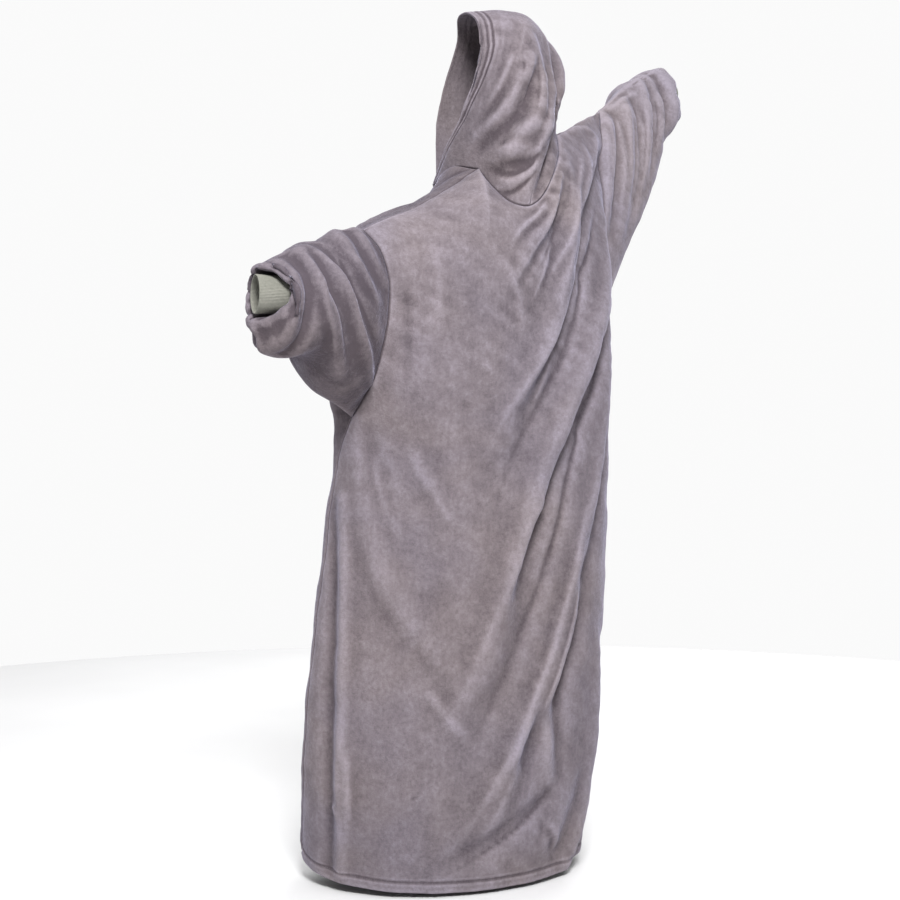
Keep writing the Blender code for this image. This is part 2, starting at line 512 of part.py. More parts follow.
def wall_mesh(outer, inner, wrap, flip):
    """Vertices and faces of a closed cloth wall between two grids."""
    rows, columns = outer.shape[:2]
    count = rows * columns
    points = np.concatenate([outer.reshape(-1, 3), inner.reshape(-1, 3)])
    index = np.arange(count).reshape(rows, columns)
    if wrap:
        index = np.concatenate([index, index[:, :1]], 1)
    corners = (index[:-1, :-1], index[:-1, 1:], index[1:, 1:], index[1:, :-1])
    skin = halves(points, *(corner.reshape(-1) for corner in corners))
    faces = [skin, skin[:, ::-1] + count]
    borders = [index[0, ::-1], index[-1]]
    if not wrap:
        borders += [index[:, 0], index[::-1, -1]]
    for line in borders:
        start, end = line[:-1], line[1:]
        faces.append(halves(points, start, end, end + count, start + count))
    faces = np.concatenate(faces)
    return points, faces if flip > 0 else faces[:, ::-1]


def centre_line(grid, normals):
    """Points, outward normals and sideways steps down the middle of the front from the throat."""
    middle = (grid.shape[1] - 1) // 2
    line, out = grid[::-1, middle], normals[::-1, middle]
    run = np.concatenate([[0], np.cumsum(np.linalg.norm(np.diff(line, axis=0), axis=1))])
    sides = [grid[::-1, middle + step] - line for step in (-1, 1)]
    stations = np.concatenate([[0.004], run[(run > 0.008) & (run < ZIP_LENGTH - 0.004)], [ZIP_LENGTH]])
    pick = [np.stack([np.interp(stations, run, values[:, k]) for k in range(3)], -1)
            for values in (line, out, *sides)]
    return stations, pick[0], pick[1] / np.linalg.norm(pick[1], axis=-1, keepdims=True), pick[2:]


def zip_strip(line, out, sides, width, low, high):
    """Closed strip that follows the front between two heights over it."""
    reaches = [side * np.minimum(1, width / 2 / np.linalg.norm(side, axis=-1))[:, None] for side in sides]
    across = np.stack([line + reaches[0], line, line + reaches[1]], 1)
    return wall_mesh(across + out[:, None] * high, across + out[:, None] * low, False, -1)


def zip_frame(stations, line, out, distance):
    """Place on the zip at a distance from the throat: origin and across, up, out directions."""
    origin = np.array([np.interp(distance, stations, line[:, k]) for k in range(3)])
    outward = np.array([np.interp(distance, stations, out[:, k]) for k in range(3)])
    across = np.cross((0, 0, 1), outward)
    across = across / np.linalg.norm(across)
    below = np.array([np.interp(distance + 0.02, stations, line[:, k]) for k in range(3)])
    up = (origin - below) - across * np.dot(origin - below, across)
    up = up / np.linalg.norm(up)
    return origin, across, up, np.cross(up, across) * np.sign(np.dot(np.cross(up, across), outward))


def outline_solid(name, frame, outline, sides, made, bevel=0.0004):
    """Prism of an (up, out) outline between two places across the zip."""
    origin, across, up, out = frame
    count = len(outline)
    points = [origin + across * a + up * u + out * n for a in sides for u, n in outline]
    faces = [list(range(count)), list(range(2 * count - 1, count - 1, -1))]
    faces += [[(i + 1) % count, i, count + i, count + (i + 1) % count] for i in range(count)]
    piece = add_piece(name, points, faces, made, smooth=False)
    if bevel:
        soft = piece.modifiers.new("bevel", "BEVEL")
        soft.width, soft.segments = bevel, 1
    return piece


def slider_solid(frame, base, made):
    """Zip slider: a wedge body with an open bridge along its top."""
    low, top = base, base + SLIDER_BODY
    window, bridge = top + BRIDGE_RISE, top + BRIDGE_RISE + 0.0014
    body = outline_solid("zip_slider", frame, [(-0.0055, low), (0.0055, low), (0.0055, top - 0.0006),
                         (-0.0055, top)], (-0.0042, 0.0042), made)
    arch = outline_solid("bridge", frame, [(-0.0052, top - 0.0008), (-0.0036, top - 0.0008),
                         (-0.0036, window), (0.0034, window), (0.0034, top - 0.0014), (0.0048, top - 0.0014),
                         (0.0048, bridge - 0.0006), (0.0040, bridge), (-0.0044, bridge),
                         (-0.0052, bridge - 0.0006)], (-0.0011, 0.0011), made, 0.0)
    join(body, arch)
    return body


def pull_solid(frame, base, made):
    """Pull tab: a forked plate hanging down from a pin through the bridge."""
    pin_out = base + SLIDER_BODY + BRIDGE_RISE / 2
    origin, across, up, out = frame
    hinge = origin + up * PIN_UP + out * pin_out
    half, cut, slot, fork_top, fork_root = PULL_WIDTH / 2 + 0.0002, 0.0012, 0.0021, 0.0015, -0.0072
    outline = [(-PULL_LENGTH, cut - half), (-PULL_LENGTH, half - cut), (cut - PULL_LENGTH, half),
               (fork_top, half), (fork_top, slot), (fork_root, slot), (fork_root, -slot),
               (fork_top, -slot), (fork_top, -half), (cut - PULL_LENGTH, -half)]
    pull = outline_solid("zip_pull", (hinge, out, up, across), outline, (-0.0006, 0.0006), made, 0.0)
    count = 12
    points = []
    for a in (-PULL_WIDTH / 2, PULL_WIDTH / 2):
        for k in range(count):
            turn = 2 * math.pi * k / count
            points.append(hinge + across * a + (up * math.cos(turn) + out * math.sin(turn)) * PIN_RADIUS)
    faces = [list(range(count)), list(range(2 * count - 1, count - 1, -1))]
    faces += [[(i + 1) % count, i, count + i, count + (i + 1) % count] for i in range(count)]
    join(pull, add_piece("pin", points, faces, made, smooth=False))
    return pull, hinge


def join(piece, other):
    """Merge another solid into a piece."""
    for mod in other.modifiers:
        mod.show_render = True
    merge = piece.modifiers.new("merge_" + other.name, "BOOLEAN")
    merge.operation, merge.solver, merge.object = "UNION", "EXACT", other
    bpy.context.view_layer.update()
    result = bpy.data.meshes.new_from_object(piece.evaluated_get(bpy.context.evaluated_depsgraph_get()))
    piece.modifiers.clear()
    piece.data = result
    bpy.data.objects.remove(other, do_unlink=True)


def finish(name, colour, roughness, metallic=0.0):
    """Plain Principled material of one piece."""
    made = bpy.data.materials.new(name)
    made.use_nodes = True
    shader = made.node_tree.nodes["Principled BSDF"]
    shader.inputs["Base Color"].default_value = (*colour, 1)
    shader.inputs["Roughness"].default_value = roughness
    shader.inputs["Metallic"].default_value = metallic
    made.diffuse_color = (*colour, 1)
    return made


def add_piece(name, points, faces, made, smooth=True):
    """Put one closed piece in the scene with its origin at the neck."""
    mesh = bpy.data.meshes.new(name)
    shifted = np.asarray(points, float) - (0, 0, NECK_HEIGHT)
    mesh.from_pydata([tuple(p) for p in shifted], [], [tuple(int(i) for i in f) for f in faces])
    mesh.validate()
    mesh.materials.append(made)
    shape = bmesh.new()
    shape.from_mesh(mesh)
    bmesh.ops.recalc_face_normals(shape, faces=shape.faces)
    shape.to_mesh(mesh)
    shape.free()
    mesh.polygons.foreach_set("use_smooth", [smooth] * len(mesh.polygons))
    piece = bpy.data.objects.new(name, mesh)
    bpy.context.scene.collection.objects.link(piece)
    return piece


def smooth_grids():
    """Every cloth surface of the garment before folding."""
    rows, columns = body_rows(), body_columns()
    panels = {face: body_panel(face, rows, columns) for face in ("back", "front")}
    grids = {"back_panel": panels["back"], "front_panel": panels["front"]}
    flips = {"back_panel": -1, "front_panel": 1}
    for side in ("left", "right"):
        ring = armhole_ring(side, panels, rows)
        grids["sleeve_" + side], _ = sleeve_surface(side, ring)
        flips["sleeve_" + side] = 1 if side == "left" else -1
        grids["hood_" + side] = hood_surface(side, panels, columns)
        flips["hood_" + side] = 1 if side == "left" else -1
    wraps = {name: name.startswith("sleeve") for name in grids}
    return grids, wraps, flips


def build():
    """Build every piece of the garment."""
    for thing in list(bpy.data.objects):
        bpy.data.objects.remove(thing, do_unlink=True)
    fleece = finish("mauve_grey_fleece", (0.33, 0.285, 0.305), 0.9)
    rib = finish("sage_grey_rib", (0.45, 0.46, 0.41), 0.85)
    grids, wraps, flips = smooth_grids()
    grids = lifted(grids, wraps, flips)
    normals = welded_normals(grids, wraps, flips)
    for name, grid in grids.items():
        thickness = np.full(grid.shape[:2] + (1,), FLEECE)
        if name.endswith("panel"):
            thickness[:2] = HEM_FLEECE
        if name.startswith("hood"):
            thickness[:, :2] = FACE_HEM
        inner = grid - normals[name] * thickness
        points, faces = wall_mesh(set_back(grid, wraps[name], SEAM_SETBACK),
                                  set_back(inner, wraps[name], SEAM_SETBACK), wraps[name], flips[name])
        add_piece(name, points, faces, fleece)
    for side in ("left", "right"):
        tube = cuff_surface(side, 5, 24)
        start, end, radius = CUFF_FORM[side]
        share = np.linspace(0, 1, 6)[:, None, None]
        middle = np.array(start) + (np.array(end) - np.array(start)) * share
        inner = middle + (tube - middle) * (1 - RIB_KNIT / radius)
        points, faces = wall_mesh(tube, inner, True, 1)
        add_piece("cuff_" + side, points, faces, rib)
    build_zip(grids["front_panel"], normals["front_panel"])


def build_zip(grid, normals):
    """Closed quarter zip down the middle of the front, slider at the throat."""
    tape = finish("grey_zip_tape", (0.20, 0.18, 0.19), 0.8)
    metal = finish("dull_zip_metal", (0.42, 0.41, 0.42), 0.35, 1.0)
    stations, line, out, sides = centre_line(grid, normals)
    points, faces = zip_strip(line, out, sides, TAPE_WIDTH, TAPE_LIFT, TAPE_LIFT + TAPE_THICKNESS)
    add_piece("zip_tape", points, faces, tape)
    toothed = slice(0, -1)
    points, faces = zip_strip(line[toothed], out[toothed], [side[toothed] for side in sides], TEETH_WIDTH,
                              TEETH_LIFT, TEETH_LIFT + TEETH_THICKNESS)
    add_piece("zip_teeth", points, faces, metal)
    stop = zip_frame(stations, line, out, (stations[-1] + stations[-2]) / 2 + 0.001)
    outline_solid("zip_stop", stop, [(-0.003, TEETH_LIFT), (0.003, TEETH_LIFT), (0.003, TEETH_LIFT + 0.0022),
                  (-0.003, TEETH_LIFT + 0.0022)], (-0.0045, 0.0045), metal)
    frame = zip_frame(stations, line, out, SLIDER_DISTANCE)
    slider_solid(frame, SLIDER_LIFT, metal)
    pull, hinge = pull_solid(frame, SLIDER_LIFT, metal)
    print("pull hinge at", [round(float(v), 5) for v in hinge - (0, 0, NECK_HEIGHT)],
          "axis", [round(float(v), 5) for v in frame[1]])


build()
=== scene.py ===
"""Looks of a floor-length hooded quarter-zip pullover in plush fleece, kept in its worn pose.

The cut of every cloth piece is worked out here on finer grids than its solid has, so each
piece is a closed thin wall on its solid's own form. Creases, hems, seams, stitching, rib and
zip teeth are added in their real sizes. All lengths are metres, and the tables of the cuts and
folds are in thousandths. Heights are over the floor until put_in_scene moves the garment down,
so that the origin lies inside the neck.
"""
from __future__ import annotations

import logging
import math
from dataclasses import dataclass, field
from enum import Enum

import bpy
import numpy as np
from mathutils import Matrix, Vector

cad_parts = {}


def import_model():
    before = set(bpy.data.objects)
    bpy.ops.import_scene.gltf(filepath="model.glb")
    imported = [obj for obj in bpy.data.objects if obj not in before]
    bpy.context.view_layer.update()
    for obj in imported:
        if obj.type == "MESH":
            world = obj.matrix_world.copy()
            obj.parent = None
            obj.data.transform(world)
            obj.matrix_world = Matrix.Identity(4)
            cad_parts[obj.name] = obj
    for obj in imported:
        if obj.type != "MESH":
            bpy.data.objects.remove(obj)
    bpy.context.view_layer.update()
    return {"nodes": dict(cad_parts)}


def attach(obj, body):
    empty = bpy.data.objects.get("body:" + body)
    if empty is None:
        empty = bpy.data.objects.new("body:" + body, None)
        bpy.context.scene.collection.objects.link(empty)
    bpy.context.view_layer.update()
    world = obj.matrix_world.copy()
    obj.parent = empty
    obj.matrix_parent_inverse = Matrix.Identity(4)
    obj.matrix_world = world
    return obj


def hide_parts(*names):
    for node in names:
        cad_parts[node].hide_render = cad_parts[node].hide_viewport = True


log = logging.getLogger("pullover")

Array = np.ndarray
Object = bpy.types.Object
Material = bpy.types.Material
Socket = bpy.types.NodeSocket
Table = tuple[tuple[float, ...], ...]
Triple = tuple[float, float, float]
Colour = Triple
NECK_HEIGHT = 1.40
GARMENT = "garment"
RIDGE_SHADE_BEND = 90.0


class Side(Enum):
    """Left or right of the wearer."""
    LEFT = "left"
    RIGHT = "right"

    @property
    def sign(self) -> int:
        """+1 on the left, where +X is, and -1 on the right."""
        return 1 if self is Side.LEFT else -1


class Face(Enum):
    """Back or front of the body."""
    BACK = "back"
    FRONT = "front"


def through(table: Table, places: Array) -> Array:
    """Smooth values of a table: cubic pieces through its rows with averaged slopes.

    Args:
        table: rows of a place followed by its values, all in thousandths.
        places: where to read it.

    Returns:
        One row of values for each place.
    """
    rows = np.asarray(table, float) / 1000
    knots, values = rows[:, 0], rows[:, 1:]
    places = np.clip(np.asarray(places, float), knots[0], knots[-1])
    slopes = np.gradient(values, knots, axis=0)
    i = np.clip(np.searchsorted(knots, places, side="right") - 1, 0, len(knots) - 2)
    step = (knots[i + 1] - knots[i])[..., None]
    f = (places[..., None] - knots[i][..., None]) / step
    return ((2 * f**3 - 3 * f**2 + 1) * values[i] + (f**3 - 2 * f**2 + f) * step * slopes[i]
            + (3 * f**2 - 2 * f**3) * values[i + 1] + (f**3 - f**2) * step * slopes[i + 1])


def unit(vectors: Array) -> Array:
    """Vectors divided by their lengths."""
    return vectors / np.maximum(np.linalg.norm(vectors, axis=-1, keepdims=True), 1e-12)


def smoothstep(value: Array) -> Array:
    """Ease from 0 to 1: 3t squared minus 2t cubed, held outside that span."""
    t = np.clip(value, 0, 1)
    return t * t * (3 - 2 * t)


def refined(grid: Array, factor: int) -> Array:
    """Rows added between a grid's own by cubic curves that pass through them.

    Args:
        grid: rows by columns by 3.
        factor: how many new steps each old step becomes.

    Returns:
        The finer grid, which keeps every old row.
    """
    ahead = np.concatenate([grid, 2 * grid[-1:] - grid[-2:-1]])
    padded = np.concatenate([2 * grid[:1] - grid[1:2], ahead])
    before, here, after, later = padded[:-3], padded[1:-2], padded[2:-1], padded[3:]
    rows = []
    for k in range(factor):
        f = k / factor
        rows.append(0.5 * (2 * here + (after - before) * f
                           + (2 * before - 5 * here + 4 * after - later) * f**2
                           + (3 * here - before - 3 * after + later) * f**3))
    mixed = np.stack(rows, 1).reshape(-1, *grid.shape[1:])
    return np.concatenate([mixed, grid[-1:]])


def on_grid(grid: Array, across: Array, along: Array, wrap: bool) -> Array:
    """Values of a grid, mixed from its four nearest points.

    Args:
        grid: rows by columns by values.
        across: shares across the columns.
        along: shares along the rows.
        wrap: whether the last column meets the first one.

    Returns:
        One row of values for each place.
    """
    rows, columns = grid.shape[0] - 1, grid.shape[1] - (0 if wrap else 1)
    a = np.clip(np.asarray(along, float) * rows, 0, rows - 1e-6)
    c = np.asarray(across, float) * columns
    c = np.mod(c, columns) if wrap else np.clip(c, 0, columns - 1e-6)
    i, j = a.astype(int), c.astype(int)
    fi, fj = (a - i)[..., None], (c - j)[..., None]
    k = (j + 1) % grid.shape[1]
    return ((grid[i, j] * (1 - fj) + grid[i, k] * fj) * (1 - fi)
            + (grid[i + 1, j] * (1 - fj) + grid[i + 1, k] * fj) * fi)


def along_line(line: Array, run: Array, at: Array) -> Array:
    """Points of a line at set distances along it."""
    return np.stack([np.interp(at, run, line[:, k]) for k in range(3)], -1)


def run_from(grid: Array, axis: int) -> Array:
    """Distance of every point from its grid's first line, summed along that axis."""
    steps = np.linalg.norm(np.diff(grid, axis=axis), axis=-1)
    first = np.zeros_like(np.take(steps, [0], axis=axis))
    return np.concatenate([first, np.cumsum(steps, axis=axis)], axis=axis)


@dataclass
class BodyCut:
    """Back and front panels, cut alike: side seams, armholes, shoulder seams and neckline.

    A panel is a function of the place across it, from -1 at the right seam to 1 at the left,
    and the share of its height. Between its two edges it swells as half a cosine. Its fullness
    is the depth and the hang of the back and the front, in pairs, and the roundness.
    """
    fineness: int = 6
    shoulder_columns: int = 7
    neck_columns: int = 8
    yoke_share: float = 0.86
    neck_place: float = 0.36
    ease_passes: int = 90
    ease_side: float = 0.16
    ease_rows: Triple = (0.50, 0.08, 0.05)
    stretches: Table = ((0.0, 0.022, 2), (0.022, 0.62, 19), (0.62, 0.76, 6), (0.76, 0.86, 5), (0.86, 1.0, 6))
    underarm: dict[Side, float] = field(default_factory=lambda: {Side.LEFT: 0.62, Side.RIGHT: 0.76})
    side_seam: dict[Side, Table] = field(default_factory=lambda: {
        Side.LEFT: ((0, 356, -168, 54), (200, 384, -108, 300), (400, 366, -72, 600),
                    (560, 347, -42, 830), (620, 345, 0, 900)),
        Side.RIGHT: ((0, -209, -37, 52), (100, -222, -22, 185), (200, -236, -13, 330),
                     (400, -250, -4, 630), (560, -258, 0, 880), (660, -280, -10, 1020),
                     (760, -309, -28, 1160))})
    armhole: dict[tuple[Side, Face], Table] = field(default_factory=lambda: {
        (Side.LEFT, Face.BACK): (
            (620, 345, 0, 900), (680, 336, 48, 955), (780, 326, 88, 1060),
            (880, 328, 98, 1155), (950, 345, 88, 1218), (1000, 362, 66, 1245)),
        (Side.LEFT, Face.FRONT): (
            (620, 345, 0, 900), (680, 362, -40, 950), (780, 372, -65, 1050),
            (880, 370, -55, 1145), (950, 366, -5, 1215), (1000, 362, 66, 1245)),
        (Side.RIGHT, Face.BACK): (
            (760, -309, -28, 1160), (820, -288, -15, 1250), (880, -273, -14, 1350),
            (940, -288, -36, 1455), (1000, -326, -89, 1543)),
        (Side.RIGHT, Face.FRONT): (
            (760, -309, -28, 1160), (820, -330, -85, 1240), (880, -338, -120, 1340),
            (940, -335, -128, 1450), (1000, -326, -89, 1543))})
    fullness: Table = (
        (0, 225, 130, -46, 40, 1000), (100, 215, 128, -24, 20, 1000),
        (200, 200, 125, -8, 0, 1000), (400, 180, 120, 0, 0, 1000),
        (560, 165, 120, 0, 0, 950), (660, 142, 105, 0, 0, 750),
        (760, 115, 85, 0, 0, 450), (860, 95, 62, 0, 0, 250))
    shoulder: dict[Side, Table] = field(default_factory=lambda: {
        Side.RIGHT: ((0, -326, -89, 1543), (500, -225, -30, 1505), (1000, -109, 40, 1459)),
        Side.LEFT: ((0, 362, 66, 1245), (500, 205, 24, 1305), (1000, 66, 15, 1380))})
    neckline: dict[Face, Table] = field(default_factory=lambda: {
        Face.BACK: ((-1000, -109, 40, 1459), (-750, -90, 70, 1415), (-500, -58, 95, 1372),
                    (-280, -29, 106, 1336), (0, 7, 106, 1307), (280, 37, 92, 1310),
                    (550, 53, 70, 1328), (780, 61, 44, 1350), (1000, 66, 15, 1380)),
        Face.FRONT: ((-1000, -109, 40, 1459), (-750, -104, -10, 1452), (-450, -66, -75, 1427),
                     (-200, 0, -118, 1387), (0, 62, -136, 1363), (250, 80, -108, 1368),
                     (600, 80, -48, 1389), (1000, 66, 15, 1380))})
    sways: tuple[tuple, ...] = (
        (Face.FRONT, -0.64, 0.36, 0.0, 0.26, -0.070, 0.049, 0.045),
        (Face.FRONT, 0.84, 0.16, 0.61, 0.09, 0.014, -0.010, 0.0))

    def rows(self) -> Array:
        """Shares of the height at the rows, closer at the hem and the yoke."""
        found = [np.zeros(1)]
        for start, end, count in self.stretches:
            steps = int(count) * self.fineness
            found.append(start + (end - start) * np.arange(1, steps + 1) / steps)
        return np.concatenate(found)

    def columns(self) -> Array:
        """Places across a panel, from the right seam to the left one."""
        shoulder = np.linspace(-1.0, -self.neck_place, self.shoulder_columns * self.fineness + 1)
        neck = np.linspace(-self.neck_place, 0.0, self.neck_columns * self.fineness + 1)
        half = np.concatenate([shoulder, neck[1:]])
        return np.concatenate([half, -half[-2::-1]])

    def edge(self, side: Side, face: Face, rows: Array) -> Array:
        """Side seam and armhole edge of a panel, a point for each row."""
        under = self.underarm[side]
        low = through(self.side_seam[side], np.minimum(rows, under))
        high = through(self.armhole[side, face], np.maximum(rows, under))
        return np.where((rows <= under)[:, None], low, high)

    def top(self, face: Face, columns: Array) -> Array:
        """Shoulder seams and neckline of a panel, a point for each column."""
        neck = through(self.neckline[face], columns / self.neck_place)
        share = (1 - np.abs(columns)) / (1 - self.neck_place)
        right, left = through(self.shoulder[Side.RIGHT], share), through(self.shoulder[Side.LEFT], share)
        seam = np.where((columns < 0)[:, None], right, left)
        return np.where((np.abs(columns) <= self.neck_place + 1e-9)[:, None], neck, seam)

    def sections(self, face: Face, rows: Array, columns: Array) -> Array:
        """Cross sections between the two edges: the chord, pushed out by depth times cosine."""
        right = self.edge(Side.RIGHT, face, rows)[:, None, :]
        left = self.edge(Side.LEFT, face, rows)[:, None, :]
        behind, before, hang_behind, hang_before, roundness = np.moveaxis(
            through(self.fullness, rows)[:, None, :], -1, 0)
        s = columns[None, :]
        turned = (1 - roundness) * s + roundness * np.sin(s * math.pi / 2)
        points = (left + right) / 2 + (left - right) / 2 * turned[..., None]
        chord = (left - right)[..., :2]
        out = unit(np.stack([-chord[..., 1], chord[..., 0], 0 * chord[..., 0]], -1))
        swell = np.cos(s * math.pi / 2)
        back = face is Face.BACK
        points = points + out * ((behind if back else -before) * swell)[..., None]
        points[..., 2] += (hang_behind if back else hang_before) * np.abs(swell) ** 0.35
        return points

    def panel(self, face: Face) -> Array:
        """Outer surface of a panel.

        Over the yoke it arches to the shoulders as a quarter turn. Passes of a 1-2-1 mean along
        the rows, away from the edges, then ease the bends where the underarms begin.
        """
        rows, columns = self.rows(), self.columns()
        points = self.sections(face, rows, columns)
        above = rows > self.yoke_share
        base = self.sections(face, np.array([self.yoke_share]), columns)[0]
        top = self.top(face, columns)
        angle = (rows[above] - self.yoke_share) / (1 - self.yoke_share) * math.pi / 2
        flat, rise = (1 - np.cos(angle))[:, None, None], np.sin(angle)[:, None, None]
        arched = base[None] + (top - base)[None] * np.concatenate([flat, flat, rise], -1)
        for side, column, reach in ((Side.RIGHT, 0, -columns), (Side.LEFT, -1, columns)):
            edge = self.edge(side, face, rows[above])
            share = np.clip(reach, 0, 1) ** 3
            arched = arched + (edge - arched[:, column])[:, None, :] * share[None, :, None]
        points[above] = arched
        eased = points.copy()
        for _ in range(self.ease_passes):
            eased[1:-1] = (eased[:-2] + 2 * eased[1:-1] + eased[2:]) / 4
        inside = smoothstep((1 - np.abs(columns)) / self.ease_side)[None, :, None]
        start, rising, falling = self.ease_rows
        between = (smoothstep((rows - start) / rising) * smoothstep((1 - rows) / falling))[:, None, None]
        points = points + (eased - points) * inside * between
        for swayed, place, reach, height, height_reach, *shift in self.sways:
            if swayed is face:
                across = smoothstep(1 - np.abs(columns - place) / reach)
                along = smoothstep(1 - np.abs(rows - height) / height_reach)
                points = points + (across[None, :] * along[:, None])[..., None] * np.array(shift)
        return points

    def armhole_ring(self, side: Side, panels: dict[Face, Array]) -> Array:
        """Armhole edge as a ring: underarm, up the back, shoulder, down the front."""
        column = -1 if side is Side.LEFT else 0
        above = self.rows() >= self.underarm[side] - 1e-9
        up = panels[Face.BACK][above, column]
        down = panels[Face.FRONT][above, column][::-1]
        return np.concatenate([up, down[1:-1]])

    def half_neck(self, side: Side, panels: dict[Face, Array]) -> Array:
        """Neckline of one half, from the throat over the shoulder to the nape."""
        middle = (panels[Face.BACK].shape[1] - 1) // 2
        stop = middle + side.sign * (self.neck_columns * self.fineness + 1)
        front, back = (panels[face][-1, middle:stop:side.sign] for face in (Face.FRONT, Face.BACK))
        return np.concatenate([front, back[-2::-1]])


@dataclass
class RibCuff:
    """Rib-knit tube: fine ribs run along it, and it is a little narrower in the middle."""
    side: Side
    start: Triple
    end: Triple
    radius: float
    thickness: float = 0.0032
    clearance: float = 0.0006
    inset: float = 0.004
    ribs: int = 80
    rib_depth: float = 0.0009
    unevenness: float = 0.0004
    waist: float = 0.05
    points_per_rib: int = 7
    rows: int = 30

    def axes(self) -> tuple[Array, Array, Array, Array]:
        """Start point, then the axis, level and upright directions of the tube."""
        start, end = np.array(self.start), np.array(self.end)
        axis = unit(end - start)
        level = unit(np.cross((0, 0, 1), axis))
        return start, axis, level, np.cross(axis, level)

    def length(self) -> float:
        """Length from the sewn end to the free one."""
        return math.dist(self.start, self.end)

    def radius_at(self, distance: Array | float) -> Array:
        """Radius at a distance: narrower in the middle by the waist's share, as a sine."""
        return self.radius * (1 - self.waist * np.sin(np.asarray(distance) / self.length() * math.pi))

    def surface(self) -> Array:
        """Outer surface: a circle at each row, its radius dented between ribs by a power of a sine."""
        start, axis, level, upright = self.axes()
        count = self.ribs * self.points_per_rib
        around = 2 * math.pi * np.arange(count) / count
        along = np.linspace(0, self.length(), self.rows + 1)[:, None, None]
        dent = self.rib_depth * (1 - np.abs(np.sin(around * self.ribs / 2)) ** 0.7)
        wander = self.unevenness * np.sin(3 * around + 1.1) * np.sin(along[..., 0] * 60 + 2 * np.cos(around))
        circle = level * np.cos(around)[:, None] + upright * np.sin(around)[:, None]
        return start + axis * along + circle[None] * (self.radius_at(along) - (dent + wander)[..., None])


@dataclass
class SleeveCut:
    """Batwing sleeve: flattened rings from the armhole to a puffed rim rolled in over the cuff.

    Each row of its form is a share of its length, the ring's top and bottom points, its widths
    behind and before, and its turn in degrees.
    """
    side: Side
    form: Table
    rim_pushed: float
    rim_roll: float = 0.009
    mouth_gap: float = 0.006
    armhole_reach: float = 0.45
    pleats: float = 0.0026
    rows: int = 17
    row_factor: int = 6

    def surface(self, ring: Array, cuff: RibCuff) -> Array:
        """Outer surface of the sleeve.

        Each ring is middle + tall * cosine + width * sine of the turn round the arm. Near the
        body it eases into the armhole ring. The last three rings roll inwards to the cuff.

        Args:
            ring: the armhole, from the underarm up the back and down the front.
            cuff: the cuff sewn to the far end.

        Returns:
            Rows of rings, from the armhole to the cuff's seam.
        """
        shares = np.concatenate([np.linspace(0, 0.84, self.rows - 5), (0.89, 0.94, 1.0, 1.0, 1.0)])
        form = through(self.form, shares)[:, None, :]
        top, bottom, behind, before = form[..., 0:3], form[..., 3:6], form[..., 6:7], form[..., 7:8]
        around = 2 * math.pi * np.arange(len(ring)) / len(ring)
        up, out = -np.cos(around)[None, :, None], np.sin(around)[None, :, None]
        turn = np.radians(form[:, 0, 8])
        level = np.stack([-np.sin(turn), np.cos(turn), 0 * turn], -1) * self.side.sign
        full = 1 - 0.22 * up * (1 - shares[:, None, None])
        points = ((top + bottom) / 2 + (top - bottom) / 2 * up
                  + level[:, None, :] * np.where(out > 0, behind, before) * out * full)
        fade = np.clip(1 - shares / self.armhole_reach, 0, 1)[:, None, None] ** 1.5
        points = points + (ring - points[0])[None] * fade
        start, axis, level, upright = cuff.axes()
        circle = level * (np.sin(around) * self.side.sign)[:, None] - upright * np.cos(around)[:, None]
        ease = np.clip((shares - 0.72) / 0.22, 0, 1)[:, None, None] ** 0.8
        points = points - axis * (self.rim_pushed * ease * np.maximum(out, 0) ** 1.5)
        mouth = points[-4]
        inside = start + axis * ((mouth - start) @ axis)[:, None] + circle * (cuff.radius + self.mouth_gap)
        points[-3] = 0.55 * mouth + 0.45 * inside + axis * self.rim_roll
        points[-2] = 0.1 * mouth + 0.9 * inside + axis * self.rim_roll / 3
        points[-1] = start + axis * cuff.inset + circle * (cuff.radius_at(cuff.inset) + cuff.clearance)
        return refined(points, self.row_factor)

    def lift_share(self, rows: int) -> Array:
        """Share of a crease's height kept at each row: none where the rim rolls in."""
        return np.clip((rows - 1 - 2 * self.row_factor - np.arange(rows)) / self.row_factor, 0, 1)


